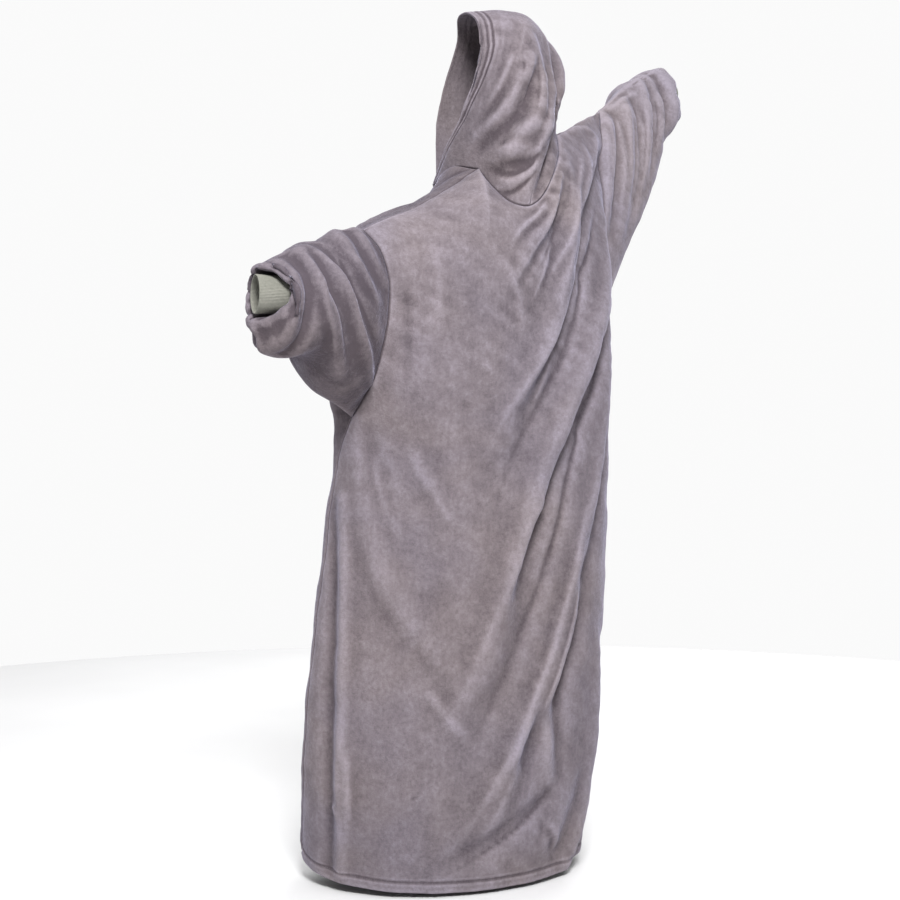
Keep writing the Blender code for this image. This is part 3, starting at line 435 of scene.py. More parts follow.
@dataclass
class HoodCut:
    """Two-piece hood, turned to the left, with a seam over the crown down to the nape.

    Each row of its form is a share of the neckline, the crown's place forward, leftward and
    upward, the bulges of the left and right halves, and their pushes forward.
    """
    form: Table = (
        (0, 50, 0, 1694, 160, 40, -43, -24),
        (150, 18, 0, 1700, 130, 50, -58, -12),
        (350, -35, 0, 1701, 93, 70, -46, 0),
        (550, -94, 0, 1687, 63, 74, -36, -12),
        (720, -124, 6, 1640, 36, 60, -30, -30),
        (860, -133, 20, 1582, 28, 50, -26, -26),
        (940, -134, 29, 1552, 24, 42, -23, -22),
        (1000, -134, 36, 1530, 0, 0, -20, -20))
    turn: float = math.radians(66)
    centre: tuple[float, float] = (0.025, -0.018)
    rows: int = 96

    def surface(self, side: Side, neck: Array) -> Array:
        """Outer surface of one half: a quarter turn from the neckline to the crown, swelled by sines.

        Args:
            side: which half.
            neck: its neckline, from the throat to the nape.

        Returns:
            Rows from the neckline to the crown seam.
        """
        share = np.linspace(0, 1, len(neck))
        forward = np.array((math.sin(self.turn), -math.cos(self.turn), 0))
        leftward = np.array((math.cos(self.turn), math.sin(self.turn), 0))
        form = through(self.form, share)
        crown = np.array((*self.centre, 0)) + form[:, 0:1] * forward + form[:, 1:2] * leftward
        crown[:, 2] = form[:, 2]
        bulge, push = (form[:, 3], form[:, 5]) if side is Side.LEFT else (form[:, 4], form[:, 6])
        v = np.linspace(0, 1, self.rows + 1)[:, None]
        flat, rise = 1 - np.cos(v * math.pi / 2), np.sin(v * math.pi / 2)
        settle = 0.5 * share[None, :, None] ** 4
        weight = np.stack([flat, flat, rise], -1) * (1 - settle) + v[..., None] * settle
        points = neck[None] + (crown - neck)[None] * weight
        swell = np.sin(v * math.pi)[..., None] ** 1.1
        late = np.sin(v**1.5 * math.pi)[..., None] ** 2.5
        lean = swell if side is Side.LEFT else late * (1 - 2 * settle) + swell * 2 * settle
        return (points + swell * side.sign * bulge[None, :, None] * leftward
                + lean * push[None, :, None] * forward)


@dataclass(frozen=True)
class Crease:
    """Soft fold along a curved line on a piece, given in shares across and along it.

    Its height over the cloth is rise * (exp(-d^2) - lean * exp(-d^2 - 2.2 + 2.97 s)), where d is
    the distance from the line in half widths and s that distance to one side of it.
    """
    piece: str
    start: tuple[float, float]
    middle: tuple[float, float]
    end: tuple[float, float]
    half_width: float
    rise: float
    end_rise: float
    lean: float

    def path(self, grid: Array, wrap: bool) -> Array:
        """Points of the line on its piece: a parabola through the three places."""
        t = np.linspace(0, 1, 33)[:, None]
        a, b, c = (np.array(p) for p in (self.start, self.middle, self.end))
        route = a * (1 - t) * (1 - 2 * t) + b * 4 * t * (1 - t) + c * t * (2 * t - 1)
        return on_grid(grid, route[:, 0], route[:, 1], wrap)

    def lift(self, points: Array, normals: Array, path: Array, peaked: bool) -> Array:
        """Height that this fold gives to every point.

        Args:
            points: the smooth surface, one row for each point.
            normals: outward normals there.
            path: the fold's line.
            peaked: whether its crest is a narrow one, exp(-1.5 * (sqrt(d^2 + 0.09) - 0.3)).

        Returns:
            Heights along the normals.
        """
        lift = np.zeros(len(points))
        reach = np.linalg.norm(path[-1] - path[0]) + 5 * self.half_width
        near = np.flatnonzero(np.linalg.norm(points - path[len(path) // 2], axis=1) < reach)
        if not len(near):
            return lift
        gap = points[near, None, :] - path[None]
        nearest = np.einsum("ijk,ijk->ij", gap, gap).argmin(1)
        tangent = np.gradient(path, axis=0)
        spacing = np.linalg.norm(tangent, axis=-1)
        tangent = unit(tangent)[nearest]
        gap = gap[np.arange(len(near)), nearest]
        along = np.einsum("ij,ij->i", gap, tangent)
        last = len(path) - 1
        beyond = np.where(nearest == last, np.maximum(along, 0), 0)
        beyond = np.where(nearest == 0, np.minimum(along, 0), beyond)
        gap = gap - tangent * (along - beyond)[:, None]
        side = np.cross(normals[near], tangent)
        d = np.linalg.norm(gap, axis=-1) / self.half_width
        signed = np.einsum("ij,ij->i", gap, side) / self.half_width
        share = np.clip((nearest + (along - beyond) / spacing[nearest]) / last, 0, 1)
        height = self.rise * (1 - share) + self.end_rise * share
        kept = 0.0 if peaked else 0.5
        faded = 0.45 if peaked else 0.30
        height *= kept + (1 - kept) * smoothstep(share / 0.25) * smoothstep((1 - share) / faded)
        sunk = abs(self.lean) * np.exp(-d**2 - 2.2 + 2.97 * np.sign(self.lean) * signed)
        crest = np.exp(-1.5 * (np.sqrt(d**2 + 0.09) - 0.3)) if peaked else np.exp(-d**2)
        lift[near] = height * (crest - sunk)
        return lift


def folds(*groups: tuple[str, Table]) -> tuple[Crease, ...]:
    """Read folds from rows of thousandths: three places, half width, rise, end rise and lean.

    Args:
        groups: pieces, each with the rows of its folds.

    Returns:
        The folds in the same order.
    """
    return tuple(Crease(piece, tuple(row[:2]), tuple(row[2:4]), tuple(row[4:6]), *row[6:])
                 for piece, rows in groups for row in (np.array(rows) / 1000).tolist())


MAIN_FOLDS = folds(
    # back, dragged down and inwards from the raised right shoulder
    ("back_panel", (
        (60, 940, 430, 735, 570, 500, 26, 20, 10, 900),
        (50, 830, 333, 553, 520, 355, 28, 22, 18, 800),
        (500, 370, 560, 275, 700, 193, 30, 16, 4, 500),
        (120, 600, 250, 340, 450, 180, 25, 10, 18, 800),
        (430, 200, 483, 132, 544, 92, 25, 16, 6, 500),
        (220, 330, 325, 235, 306, 145, 22, 8, 14, 700),
        (306, 127, 470, 92, 722, 57, 20, -14, -4, 0),
        (144, 260, 150, 140, 189, 30, 30, 14, 20, 900),
        (211, 136, 256, 88, 330, 80, 28, 12, 6, 400),
        # back, left side
        (950, 447, 898, 270, 878, 40, 18, 10, 15, -900),
        (878, 430, 800, 335, 620, 250, 34, 12, 6, 0),
        (930, 530, 865, 455, 806, 364, 22, -10, -3, 0),
        # back, short drags below the hood
        (400, 925, 556, 851, 706, 776, 16, 7, 2, 500),
        (383, 917, 461, 851, 556, 781, 15, 7, 2, 500),
        (240, 920, 367, 803, 500, 732, 18, 9, 3, 500))),
    # front, crest of the left shoulder
    ("front_panel", (
        (820, 930, 900, 940, 990, 950, 38, 12, 26, 0),
        (950, 660, 950, 600, 940, 530, 40, 14, 6, 0),
        # front, hanging folds
        (300, 800, 270, 450, 220, 20, 30, 10, 22, 500),
        (420, 680, 410, 380, 370, 20, 27, 6, 18, -500),
        (550, 580, 560, 330, 610, 20, 30, 6, 20, 600),
        (680, 760, 700, 450, 750, 20, 28, 8, 19, 400),
        (830, 600, 830, 330, 850, 30, 26, 8, 14, 0),
        (100, 900, 260, 800, 380, 660, 24, 14, 4, 600),
        (970, 600, 820, 520, 660, 440, 22, 12, 3, 500))),
    # left sleeve
    ("sleeve_left", (
        (440, 590, 270, 545, 90, 350, 16, 10, 8, 600),
        (440, 500, 250, 330, 90, 40, 18, 12, 12, 600),
        (495, 200, 377, 208, 284, 104, 17, 9, 5, 600),
        (495, 60, 407, 83, 338, 42, 15, 8, 4, 500),
        (470, 660, 270, 650, 50, 670, 14, -14, -18, 0),
        (550, 450, 720, 400, 900, 200, 20, 10, 12, -500),
        (570, 220, 680, 160, 800, 80, 18, 9, 6, -500),
        (560, 660, 750, 670, 920, 680, 14, -10, -12, 0))),
    # right sleeve
    ("sleeve_right", (
        (460, 60, 356, 70, 190, 10, 18, 14, 12, 600),
        (420, 240, 330, 220, 150, 120, 18, 12, 10, 600),
        (460, 420, 360, 400, 200, 260, 16, 9, 8, 500),
        (580, 120, 720, 140, 860, 80, 20, 12, 10, 500),
        (560, 380, 700, 400, 860, 300, 18, 10, 8, 500),
        (500, 580, 350, 590, 120, 570, 14, -9, -8, 0))),
    # hood, left half
    ("hood_left", (
        (615, 560, 560, 280, 406, 125, 16, 10, 12, 500),
        (667, 520, 670, 360, 635, 167, 14, -7, -10, 0),
        (600, 680, 800, 500, 708, 167, 16, 7, 12, 500),
        (635, 940, 820, 880, 930, 800, 14, 6, 4, 400),
        (960, 560, 860, 400, 620, 200, 19, 8, 8, 0),
        (950, 340, 880, 220, 680, 100, 13, -7, -8, 0))),
    # hood, right half
    ("hood_right", (
        (600, 600, 550, 320, 400, 140, 17, 9, 11, -500),
        (760, 660, 780, 420, 660, 200, 16, 7, 10, -500),
        (550, 760, 720, 680, 860, 620, 15, 6, 10, 0))),
)

FINE_CREASES = folds(
    # left shoulder, rolls that lie across it
    ("front_panel", (
        (970, 972, 880, 955, 790, 950, 10, 4, 2, 400),
        (970, 930, 890, 915, 800, 900, 12, 5, 2, 400))),
    # right sleeve, hanging rolls
    ("sleeve_right", (
        (440, 30, 341, 31, 197, 10, 9, 5, 3, 400),
        (424, 145, 295, 156, 144, 72, 9, 6, 4, 500),
        (402, 280, 280, 265, 144, 166, 9, 6, 4, 500),
        (371, 416, 273, 385, 152, 270, 9, 6, 3, 500),
        (371, 531, 250, 545, 190, 440, 8, 4, 3, 400),
        (412, 94, 280, 93, 159, 30, 6, -5, -4, 0),
        (385, 343, 265, 322, 167, 218, 6, -5, -4, 0),
        (360, 490, 258, 480, 195, 350, 6, -4, -3, 0),
        (475, 62, 437, 240, 399, 417, 9, 4, 3, 400))),
    # back, crests and valleys of the long drags from the right shoulder
    ("back_panel", (
        (60, 920, 450, 690, 640, 440, 18, 9, 4.5, 900),
        (30, 850, 361, 496, 720, 165, 19, 9, 5, 900),
        (150, 500, 400, 225, 690, 50, 18, 7.5, 4.5, 900),
        (50, 880, 360, 655, 640, 330, 18, -12, -4, 0),
        (100, 790, 270, 470, 690, 115, 20, -12, -7, 0),
        (290, 132, 433, 90, 720, 42, 6, -4, -3, 0),
        (230, 60, 260, 85, 320, 100, 10, 5, 3, 600),
        # back, drags under the hood
        (160, 935, 300, 851, 580, 745, 11, 5, 2, 700),
        (290, 960, 461, 877, 730, 760, 10, 5, 2, 700),
        (420, 950, 539, 912, 700, 840, 9, 4, 2, 600),
        (410, 850, 500, 794, 590, 730, 8, 2.5, 1.5, 500),
        (210, 930, 383, 860, 640, 755, 9, -3, -1.5, 0),
        (95, 930, 206, 855, 440, 750, 10, -4, -2, 0),
        (950, 480, 790, 300, 600, 262, 22, -2, -2, 0))),
    # nape, rolls of the hood over the neckline
    ("hood_left", (
        (500, 50, 800, 125, 970, 390, 12, -6.1, -6.1, 0),
        (540, 130, 780, 230, 930, 480, 24, 5, 3.6, 0),
        (660, 12, 880, 90, 1000, 360, 9, -3.6, -3.6, 0),
        (600, 60, 840, 112, 985, 375, 11, 2.9, 2.9, 0))),
    # right yoke, crumples beside the armhole
    ("back_panel", (
        (67, 956, 111, 908, 161, 851, 11, 6, 3, 500),
        (194, 985, 122, 975, 50, 950, 10, 5, 4, 400),
        (150, 960, 160, 900, 230, 830, 10, 4, 2, 400))),
    # hood, left half
    ("hood_left", (
        (437, 520, 427, 333, 344, 194, 16, 4.3, 3.6, 400),
        (583, 597, 667, 444, 656, 153, 12, 3.6, 3.6, 400),
        (542, 500, 594, 389, 521, 139, 11, -2.9, -2.9, 0),
        (740, 722, 844, 569, 885, 375, 12, 2.9, 2.9, 400),
        (646, 653, 760, 514, 802, 333, 9, -2.9, -2.9, 0),
        (208, 620, 208, 444, 300, 278, 16, 2.9, 2.2, 300))),
    # hood, right half
    ("hood_right", (
        (640, 830, 720, 700, 790, 580, 12, 2.9, 2.2, 400),
        (875, 500, 820, 520, 770, 560, 11, -2.9, -2.2, 0),
        (220, 620, 215, 440, 310, 260, 16, 2.9, 2.2, -300))),
    # left sleeve, rolls hanging from the raised top
    ("sleeve_left", (
        (382, 552, 191, 521, 78, 333, 9, 5, 3, 400),
        (382, 417, 255, 333, 132, 104, 10, 5, 4, 400),
        (407, 250, 319, 167, 255, 83, 10, 4, 2, 400),
        (368, 500, 221, 458, 123, 260, 7, -4, -3, 0),
        (412, 312, 284, 250, 167, 73, 7, -3, -3, 0),
        (265, 725, 180, 700, 90, 715, 7, -3, -3, 0))),
    # back, lower left fold and stray creases
    ("back_panel", (
        (878, 197, 867, 149, 867, 83, 10, 6, 5, -500),
        (906, 127, 889, 118, 872, 110, 9, 4, 3, 300),
        (861, 140, 833, 140, 806, 140, 4.5, -1.6, -1.2, 0),
        (761, 140, 744, 142, 728, 145, 4.5, -1.4, -1.2, 0),
        (839, 526, 756, 447, 672, 421, 20, 5, 3, 300),
        (411, 439, 456, 417, 489, 390, 14, 4, 3, 400),
        (960, 860, 945, 732, 900, 583, 22, -4, -4, 0),
        (889, 914, 883, 807, 878, 662, 18, 3, 3, 0),
        (906, 513, 850, 443, 794, 386, 14, 4, 2, 400),
        (717, 851, 639, 746, 628, 636, 20, 3, 2, 300),
        (756, 263, 656, 219, 561, 193, 18, 4, 3, 400),
        (439, 675, 461, 588, 511, 504, 16, 4, 3, 400))),
    # front, uneven drags like those behind
    ("front_panel", (
        (160, 930, 300, 860, 420, 780, 12, 6, 2, 500),
        (600, 900, 660, 840, 740, 780, 11, 5, 2, 400),
        (360, 560, 340, 400, 300, 180, 14, 5, 7, 400),
        (490, 440, 500, 260, 490, 50, 15, 3, 8, 500),
        (620, 660, 650, 420, 680, 140, 13, 4, 6, -400),
        (780, 500, 790, 300, 800, 60, 13, 4, 6, 400),
        (140, 740, 180, 520, 150, 240, 14, 5, 5, 400))),
)


@dataclass
class ClothForm:
    """Every cloth surface of the garment on its fine grid, smooth and then creased."""
    body: BodyCut
    hood: HoodCut
    sleeves: dict[Side, SleeveCut]
    cuffs: dict[Side, RibCuff]
    waves: Table = ((0.21, 0.0011), (0.13, 0.0009), (0.085, 0.0007), (0.052, 0.0005), (0.031, 0.0003))
    seed: int = 27
    hem_band: float = 0.021
    hem_press: tuple[float, float] = (0.0016, 0.0007)
    face_lines: tuple[float, float] = (0.016, 0.027)
    face_press: tuple[float, float] = (0.0017, 0.0006)
    groove_width: float = 0.0026
    band_edge: float = 0.005
    grids: dict[str, Array] = field(default_factory=dict)
    normals: dict[str, Array] = field(default_factory=dict)

    def wraps(self, name: str) -> bool:
        """Whether a piece is a tube."""
        return name.startswith("sleeve")

    def flip(self, name: str) -> int:
        """-1 where a grid's own cross product points into the garment."""
        return {"back_panel": -1, "sleeve_right": -1, "hood_right": -1}.get(name, 1)

    def lay_out(self) -> None:
        """Work out the smooth surfaces, which share their seam lines."""
        panels = {face: self.body.panel(face) for face in Face}
        self.grids = {"back_panel": panels[Face.BACK], "front_panel": panels[Face.FRONT]}
        for side in Side:
            ring = self.body.armhole_ring(side, panels)
            self.grids["sleeve_" + side.value] = self.sleeves[side].surface(ring, self.cuffs[side])
            neck = self.body.half_neck(side, panels)
            self.grids["hood_" + side.value] = self.hood.surface(side, neck)
        self.normals = self.welded_normals()

    def corner_normals(self, name: str) -> Array:
        """Area-weighted normals of a grid: the cross product of its face diagonals, summed at corners."""
        grid, wrap = self.grids[name], self.wraps(name)
        if wrap:
            grid = np.concatenate([grid, grid[:, :1]], 1)
        normal = np.cross(grid[1:, 1:] - grid[:-1, :-1], grid[1:, :-1] - grid[:-1, 1:])
        total = np.zeros_like(grid)
        for rows in (slice(0, -1), slice(1, None)):
            for columns in (slice(0, -1), slice(1, None)):
                total[rows, columns] += normal
        if wrap:
            total[:, 0] += total[:, -1]
            total = total[:, :-1]
        return total * self.flip(name)

    def welded_normals(self) -> dict[str, Array]:
        """Unit normals pointing out of the garment, shared where pieces meet."""
        points = np.concatenate([g.reshape(-1, 3) for g in self.grids.values()])
        totals = np.concatenate([self.corner_normals(n).reshape(-1, 3) for n in self.grids])
        _, same = np.unique(np.round(points, 6), axis=0, return_inverse=True)
        same = same.reshape(-1)
        summed = np.stack([np.bincount(same, totals[:, k]) for k in range(3)], -1)[same]
        found, at = {}, 0
        for name, grid in self.grids.items():
            count = grid.shape[0] * grid.shape[1]
            found[name] = unit(summed[at:at + count]).reshape(grid.shape)
            at += count
        return found

    def raise_creases(self, creases: tuple[Crease, ...], peaked: bool, share: float) -> None:
        """Raise folds on every surface, alike on both sides of a seam.

        Args:
            creases: the folds.
            peaked: whether their crests are narrow.
            share: share of their heights to raise.
        """
        lifts = {name: self.unevenness(grid) * (not peaked) for name, grid in self.grids.items()}
        for crease in creases:
            path = crease.path(self.grids[crease.piece], self.wraps(crease.piece))
            for name, grid in self.grids.items():
                lift = crease.lift(grid.reshape(-1, 3), self.normals[name].reshape(-1, 3), path, peaked)
                lifts[name] += share * lift.reshape(grid.shape[:2])
        for side in Side:
            name = "sleeve_" + side.value
            lifts[name] *= self.sleeves[side].lift_share(len(lifts[name]))[:, None]
        self.raise_by(lifts)

    def unevenness(self, grid: Array) -> Array:
        """Faint unevenness of sewn plush: four sines of place a wave, with seeded directions."""
        draw = np.random.default_rng(self.seed)
        total = np.zeros(grid.shape[:2])
        for length, height in self.waves:
            for _ in range(4):
                wave = draw.normal(size=3)
                wave = wave / np.linalg.norm(wave) * 2 * math.pi / length
                total += height / 2 * np.sin(grid @ wave + draw.uniform(0, 2 * math.pi))
        return total

    def gather_mouths(self) -> None:
        """Pucker the sleeves round the cuffs: pleats as a sine of the turn, strongest at the rim."""
        lifts = {}
        for side, sleeve in self.sleeves.items():
            name = "sleeve_" + side.value
            rows, columns = self.grids[name].shape[:2]
            turn = 2 * math.pi * np.arange(columns)[None, :] / columns
            mouth = rows - 1 - 2.2 * sleeve.row_factor
            reach = np.exp(-((np.arange(rows)[:, None] - mouth) / (2.0 * sleeve.row_factor)) ** 2)
            last = smoothstep((rows - 1 - np.arange(rows)[:, None]) / sleeve.row_factor)
            wave = np.sin(7 * turn + 1.8 * np.sin(2 * turn + 0.7)) + 0.45 * np.sin(12 * turn + 2.1)
            lifts[name] = sleeve.pleats * reach * last * wave
        self.raise_by(lifts)

    def press_hems(self) -> None:
        """Press the bottom hem and the hood's face band: a band swelled between sewn grooves."""
        lifts = {}
        for name in ("back_panel", "front_panel"):
            lifts[name] = self.groove(run_from(self.grids[name], 0), (self.hem_band,), *self.hem_press)
        for side in Side:
            name = "hood_" + side.value
            band = self.groove(run_from(self.grids[name], 1), self.face_lines, *self.face_press)
            lifts[name] = band * smoothstep(run_from(self.grids[name], 0) / 0.010)
        self.raise_by(lifts)

    def groove(self, run: Array, lines: tuple[float, ...], depth: float, swell: float) -> Array:
        """Heights of a sewn band: a swell up to its last line, and a narrow groove at each line.

        Args:
            run: distance from the free edge.
            lines: distances of the sewn lines.
            depth: depth of each groove.
            swell: height of the band between them.

        Returns:
            Heights along the normals.
        """
        height = swell * smoothstep((lines[-1] - run) / self.band_edge)
        for line in lines:
            height -= depth * np.exp(-((run - line) / self.groove_width) ** 2)
        return height

    def raise_by(self, lifts: dict[str, Array]) -> None:
        """Move every surface along its normals and work the normals out again."""
        for name, lift in lifts.items():
            self.grids[name] = self.grids[name] + self.normals[name] * lift[..., None]
        self.normals = self.welded_normals()


def painted_ridge_shade(grid: Array, normals: Array, wrap: bool) -> Array:
    """How far each point stands over its neighbours, the mask for painted ridge light and valley shade:
    minus the bend along both grid directions.

    Args:
        grid: the surface.
        normals: its outward normals.
        wrap: whether it is a tube.

    Returns:
        Values from -1 in a valley to 1 on a ridge, tanh(bend / RIDGE_SHADE_BEND).
    """
    total = np.zeros(grid.shape[:2])
    for reach in (2, 5):
        for axis in (0, 1):
            if axis == 1 and wrap:
                ahead, behind = np.roll(grid, -reach, 1), np.roll(grid, reach, 1)
            else:
                length = grid.shape[axis]
                ahead = np.take(grid, np.minimum(np.arange(length) + reach, length - 1), axis)
                behind = np.take(grid, np.maximum(np.arange(length) - reach, 0), axis)
            gap = np.linalg.norm(ahead - behind, axis=-1) / 2 + 1e-4
            bend = np.einsum("ijk,ijk->ij", 2 * grid - ahead - behind, normals)
            total += bend / gap**2
    return np.tanh(total / RIDGE_SHADE_BEND)


def added(name: str, data: bpy.types.ID) -> Object:
    """Put an object with that data in the scene."""
    made = bpy.data.objects.new(name, data)
    bpy.context.scene.collection.objects.link(made)
    return made


def put_in_scene(name: str, points: Array, quads: Array, finish: Material,
                 smooth: bool = True) -> Object:
    """Put one mesh in the scene, moved down so that the origin lies in the neck.

    Args:
        name: the piece's name.
        points: heights over the floor, one row for each point.
        quads: four corners for each face.
        finish: its material.
        smooth: whether it is shaded smooth.

    Returns:
        The new object, its faces pointing outwards.
    """
    a, b, c, d = (points[quads[:, k]] for k in range(4))
    if np.einsum("ij,ij->", np.cross(b - a, c - a) + np.cross(c - a, d - a), a) < 0:
        quads = quads[:, ::-1]
    mesh = bpy.data.meshes.new(name)
    mesh.vertices.add(len(points))
    mesh.vertices.foreach_set("co", (points - (0, 0, NECK_HEIGHT)).astype(np.float32).ravel())
    mesh.loops.add(quads.size)
    mesh.loops.foreach_set("vertex_index", quads.astype(np.int32).ravel())
    mesh.polygons.add(len(quads))
    mesh.polygons.foreach_set("loop_start", np.arange(0, quads.size, 4, dtype=np.int32))
    mesh.polygons.foreach_set("use_smooth", np.full(len(quads), smooth))
    mesh.update(calc_edges=True)
    mesh.materials.append(finish)
    log.info("%s: %d faces", name, len(quads))
    return added(name, mesh)


@dataclass
class ClothWall:
    """Closed wall of cloth with rounded borders, between an outer grid and its inner copy."""
    name: str
    grid: Array
    normals: Array
    thickness: Array
    wrap: bool
    reaches: Table = ((0.0004, 0.07), (0.0016, 0.30), (0.0036, 0.62))
    outer_drop: Triple = (0.42, 0.22, 0.07)
    inner_drop: Triple = (0.34, 0.12, 0.02)
    # Painted shade of the whole piece: its tone made lighter or darker for the light falling on it.
    painted_shading: float = 0.0

    def with_borders(self, grid: Array, normals: Array, thickness: Array,
                     drops: Triple, axis: int) -> list[Array]:
        """Round off the first and last lines of a grid.

        Three lines near the border replace it. Each lies a set reach in from it, square to it
        in the surface, and sinks by a share of the thickness.

        Args:
            grid: the surface.
            normals: its outward normals.
            thickness: the wall's thickness at each point.
            drops: share of the thickness by which each line sinks.
            axis: 0 for rows and 1 for columns.

        Returns:
            The grid, normals and thickness with those lines.
        """
        parts = [np.swapaxes(a, 0, axis) for a in (grid, normals, thickness)]
        ends: dict[int, list[Array]] = {}
        for edge, inner in ((0, 1), (-1, -2)):
            line, step = parts[0][edge], parts[0][inner] - parts[0][edge]
            if axis == 0 and self.wrap:
                along = unit(np.roll(line, -1, axis=0) - np.roll(line, 1, axis=0))
            else:
                along = unit(np.gradient(line, axis=0))
            step = step - along * (step * along).sum(-1, keepdims=True)
            size = np.linalg.norm(step, axis=-1, keepdims=True)
            sunk = parts[1][edge] * parts[2][edge]
            ends[edge] = [line + step / size * np.minimum(reach, share * size) - sunk * drop
                          for (reach, share), drop in zip(self.reaches, drops)]
        first, last = np.stack(ends[0]), np.stack(ends[-1][::-1])
        joined = [np.concatenate([first, parts[0][1:-1], last])]
        for part in parts[1:]:
            joined.append(np.concatenate([part[:1].repeat(3, 0), part[1:-1], part[-1:].repeat(3, 0)]))
        return [np.swapaxes(a, 0, axis) for a in joined]

    def skins(self) -> list[list[Array]]:
        """Outer and inner skin with rounded borders, each with its normals and thickness."""
        found = []
        for share, drops in ((0.0, self.outer_drop), (1.0, tuple(-d for d in self.inner_drop))):
            parts = [self.grid - self.normals * self.thickness * share, self.normals, self.thickness]
            parts = self.with_borders(*parts, drops, 0)
            if not self.wrap:
                parts = self.with_borders(*parts, drops, 1)
            found.append(parts)
        return found

    def build(self, finish: Material) -> Object:
        """Build the wall, with its place on the cut as a UV map, its ridges as an attribute for painted
        ridge light and valley shade, and the piece's painted shading as a second attribute.

        Args:
            finish: the cloth.

        Returns:
            The piece.
        """
        (outer, normals, _), (inner, _, _) = self.skins()
        rows, columns = outer.shape[:2]
        count = rows * columns
        index = np.arange(count).reshape(rows, columns)
        if self.wrap:
            index = np.concatenate([index, index[:, :1]], 1)
            outer_ring = np.concatenate([outer, outer[:, :1]], 1)
        else:
            outer_ring = outer
        u = run_from(outer_ring, 1).mean(0)[None, :].repeat(rows, 0)
        v = run_from(outer_ring, 0).mean(1)[:, None].repeat(index.shape[1], 1)
        cut = np.stack([u, v], -1)
        corner = (slice(None, -1), slice(None, -1)), (slice(None, -1), slice(1, None)), \
                 (slice(1, None), slice(1, None)), (slice(1, None), slice(None, -1))
        skin = np.stack([index[c].ravel() for c in corner], -1)
        place = np.stack([cut[c].reshape(-1, 2) for c in corner], 1)
        quads, places = [skin, skin[:, ::-1] + count], [place, place[:, ::-1]]
        borders = [(index[0, ::-1], cut[0, ::-1]), (index[-1], cut[-1])]
        if not self.wrap:
            borders += [(index[:, 0], cut[:, 0]), (index[::-1, -1], cut[::-1, -1])]
        for line, mark in borders:
            quads.append(np.stack([line[:-1], line[1:], line[1:] + count, line[:-1] + count], -1))
            places.append(np.stack([mark[:-1], mark[1:], mark[1:], mark[:-1]], 1))
        points = np.concatenate([outer.reshape(-1, 3), inner.reshape(-1, 3)])
        quads, places = np.concatenate(quads), np.concatenate(places)
        piece = put_in_scene(self.name, points, quads, finish)
        if piece.data.polygons[0].vertices[0] != quads[0, 0]:
            places = places[:, ::-1]
        layer = piece.data.uv_layers.new(name="cut")
        layer.data.foreach_set("uv", places.astype(np.float32).ravel())
        # Painted light and shade: the crest values make the fleece lighter on ridges and darker in valleys,
        # standing in for how light falls on the folds.
        crest = painted_ridge_shade(outer, normals, self.wrap)
        carried = {"crest": np.append(crest, np.zeros(count)), "painted_shading": np.full(2 * count, self.painted_shading)}
        for name, values in carried.items():
            layer = piece.data.attributes.new(name, "FLOAT", "POINT")
            layer.data.foreach_set("value", values.astype(np.float32))
        return piece


def ring_solids(rings: Array) -> tuple[Array, Array]:
    """Many small closed solids, each a stack of rings with an even number of corners.

    Args:
        rings: solids by rings by corners by 3.

    Returns:
        Points and quads of all of them.
    """
    many, stack, sides = rings.shape[:3]
    index = np.arange(many * stack * sides).reshape(many, stack, sides)
    ahead = np.roll(index, -1, axis=2)
    walls = np.stack([index[:, :-1], ahead[:, :-1], ahead[:, 1:], index[:, 1:]], -1).reshape(-1, 4)
    faces = [walls]
    for k in range(1, sides - 2, 2):
        corners = [0, k, k + 1, k + 2]
        faces += [index[:, 0][:, corners[::-1]], index[:, -1][:, corners]]
    return rings.reshape(-1, 3), np.concatenate(faces)


@dataclass
class Stitching:
    """Rows of sewing thread laid in their grooves: short dashes that dive in at both ends."""
    length: float = 0.0034
    pitch: float = 0.0048
    radius: float = 0.00042

    def dashes(self, line: Array, normals: Array) -> Array:
        """Rings of every dash along a line.

        Each ring has six corners at the thread's radius, and its centre sinks with the fourth
        power of the distance from the dash's middle.

        Args:
            line: points that the thread follows.
            normals: outward normals there.

        Returns:
            Dashes by rings by corners by 3.
        """
        run = run_from(line, 0)
        stations = np.arange(self.pitch / 2, run[-1], self.pitch)
        t = np.array([-0.5, -0.42, -0.2, 0.2, 0.42, 0.5])
        at = stations[:, None] + t[None] * self.length
        centre, out = along_line(line, run, at), unit(along_line(normals, run, at))
        ahead = unit(along_line(line, run, at + 1e-3) - along_line(line, run, at - 1e-3))
        side = np.cross(ahead, out)
        centre = centre + out * (self.radius * 0.9 - 2 * self.radius * (2 * t[None, :, None]) ** 4)
        radius = self.radius * np.sqrt(np.maximum(1 - (1.8 * t) ** 2, 0.05))[None, :, None, None]
        turn = 2 * math.pi * np.arange(6) / 6
        circle = side[:, :, None] * np.cos(turn)[:, None] + out[:, :, None] * np.sin(turn)[:, None]
        return centre[:, :, None] + circle * radius

    def build(self, name: str, lines: list[tuple[Array, Array]],
              finish: Material) -> Object:
        """Sew all lines as one piece."""
        rings = np.concatenate([self.dashes(line, normals) for line, normals in lines])
        return put_in_scene(name, *ring_solids(rings), finish)


def line_at(grid: Array, normals: Array, distance: float,
            axis: int) -> tuple[Array, Array]:
    """Line across a grid at a set distance from its first line.

    Args:
        grid: the surface.
        normals: its outward normals.
        distance: how far in from the first line, measured along the other direction.
        axis: 0 to measure along rows and 1 along columns.

    Returns:
        Points and normals of the line.
    """
    points, outs = np.swapaxes(grid, 0, axis), np.swapaxes(normals, 0, axis)
    run = run_from(points, 0)
    k = np.clip((run < distance).sum(0), 1, len(run) - 1)
    each = np.arange(run.shape[1])
    f = ((distance - run[k - 1, each]) / (run[k, each] - run[k - 1, each]))[:, None]
    return (points[k - 1, each] * (1 - f) + points[k, each] * f,
            unit(outs[k - 1, each] * (1 - f) + outs[k, each] * f))


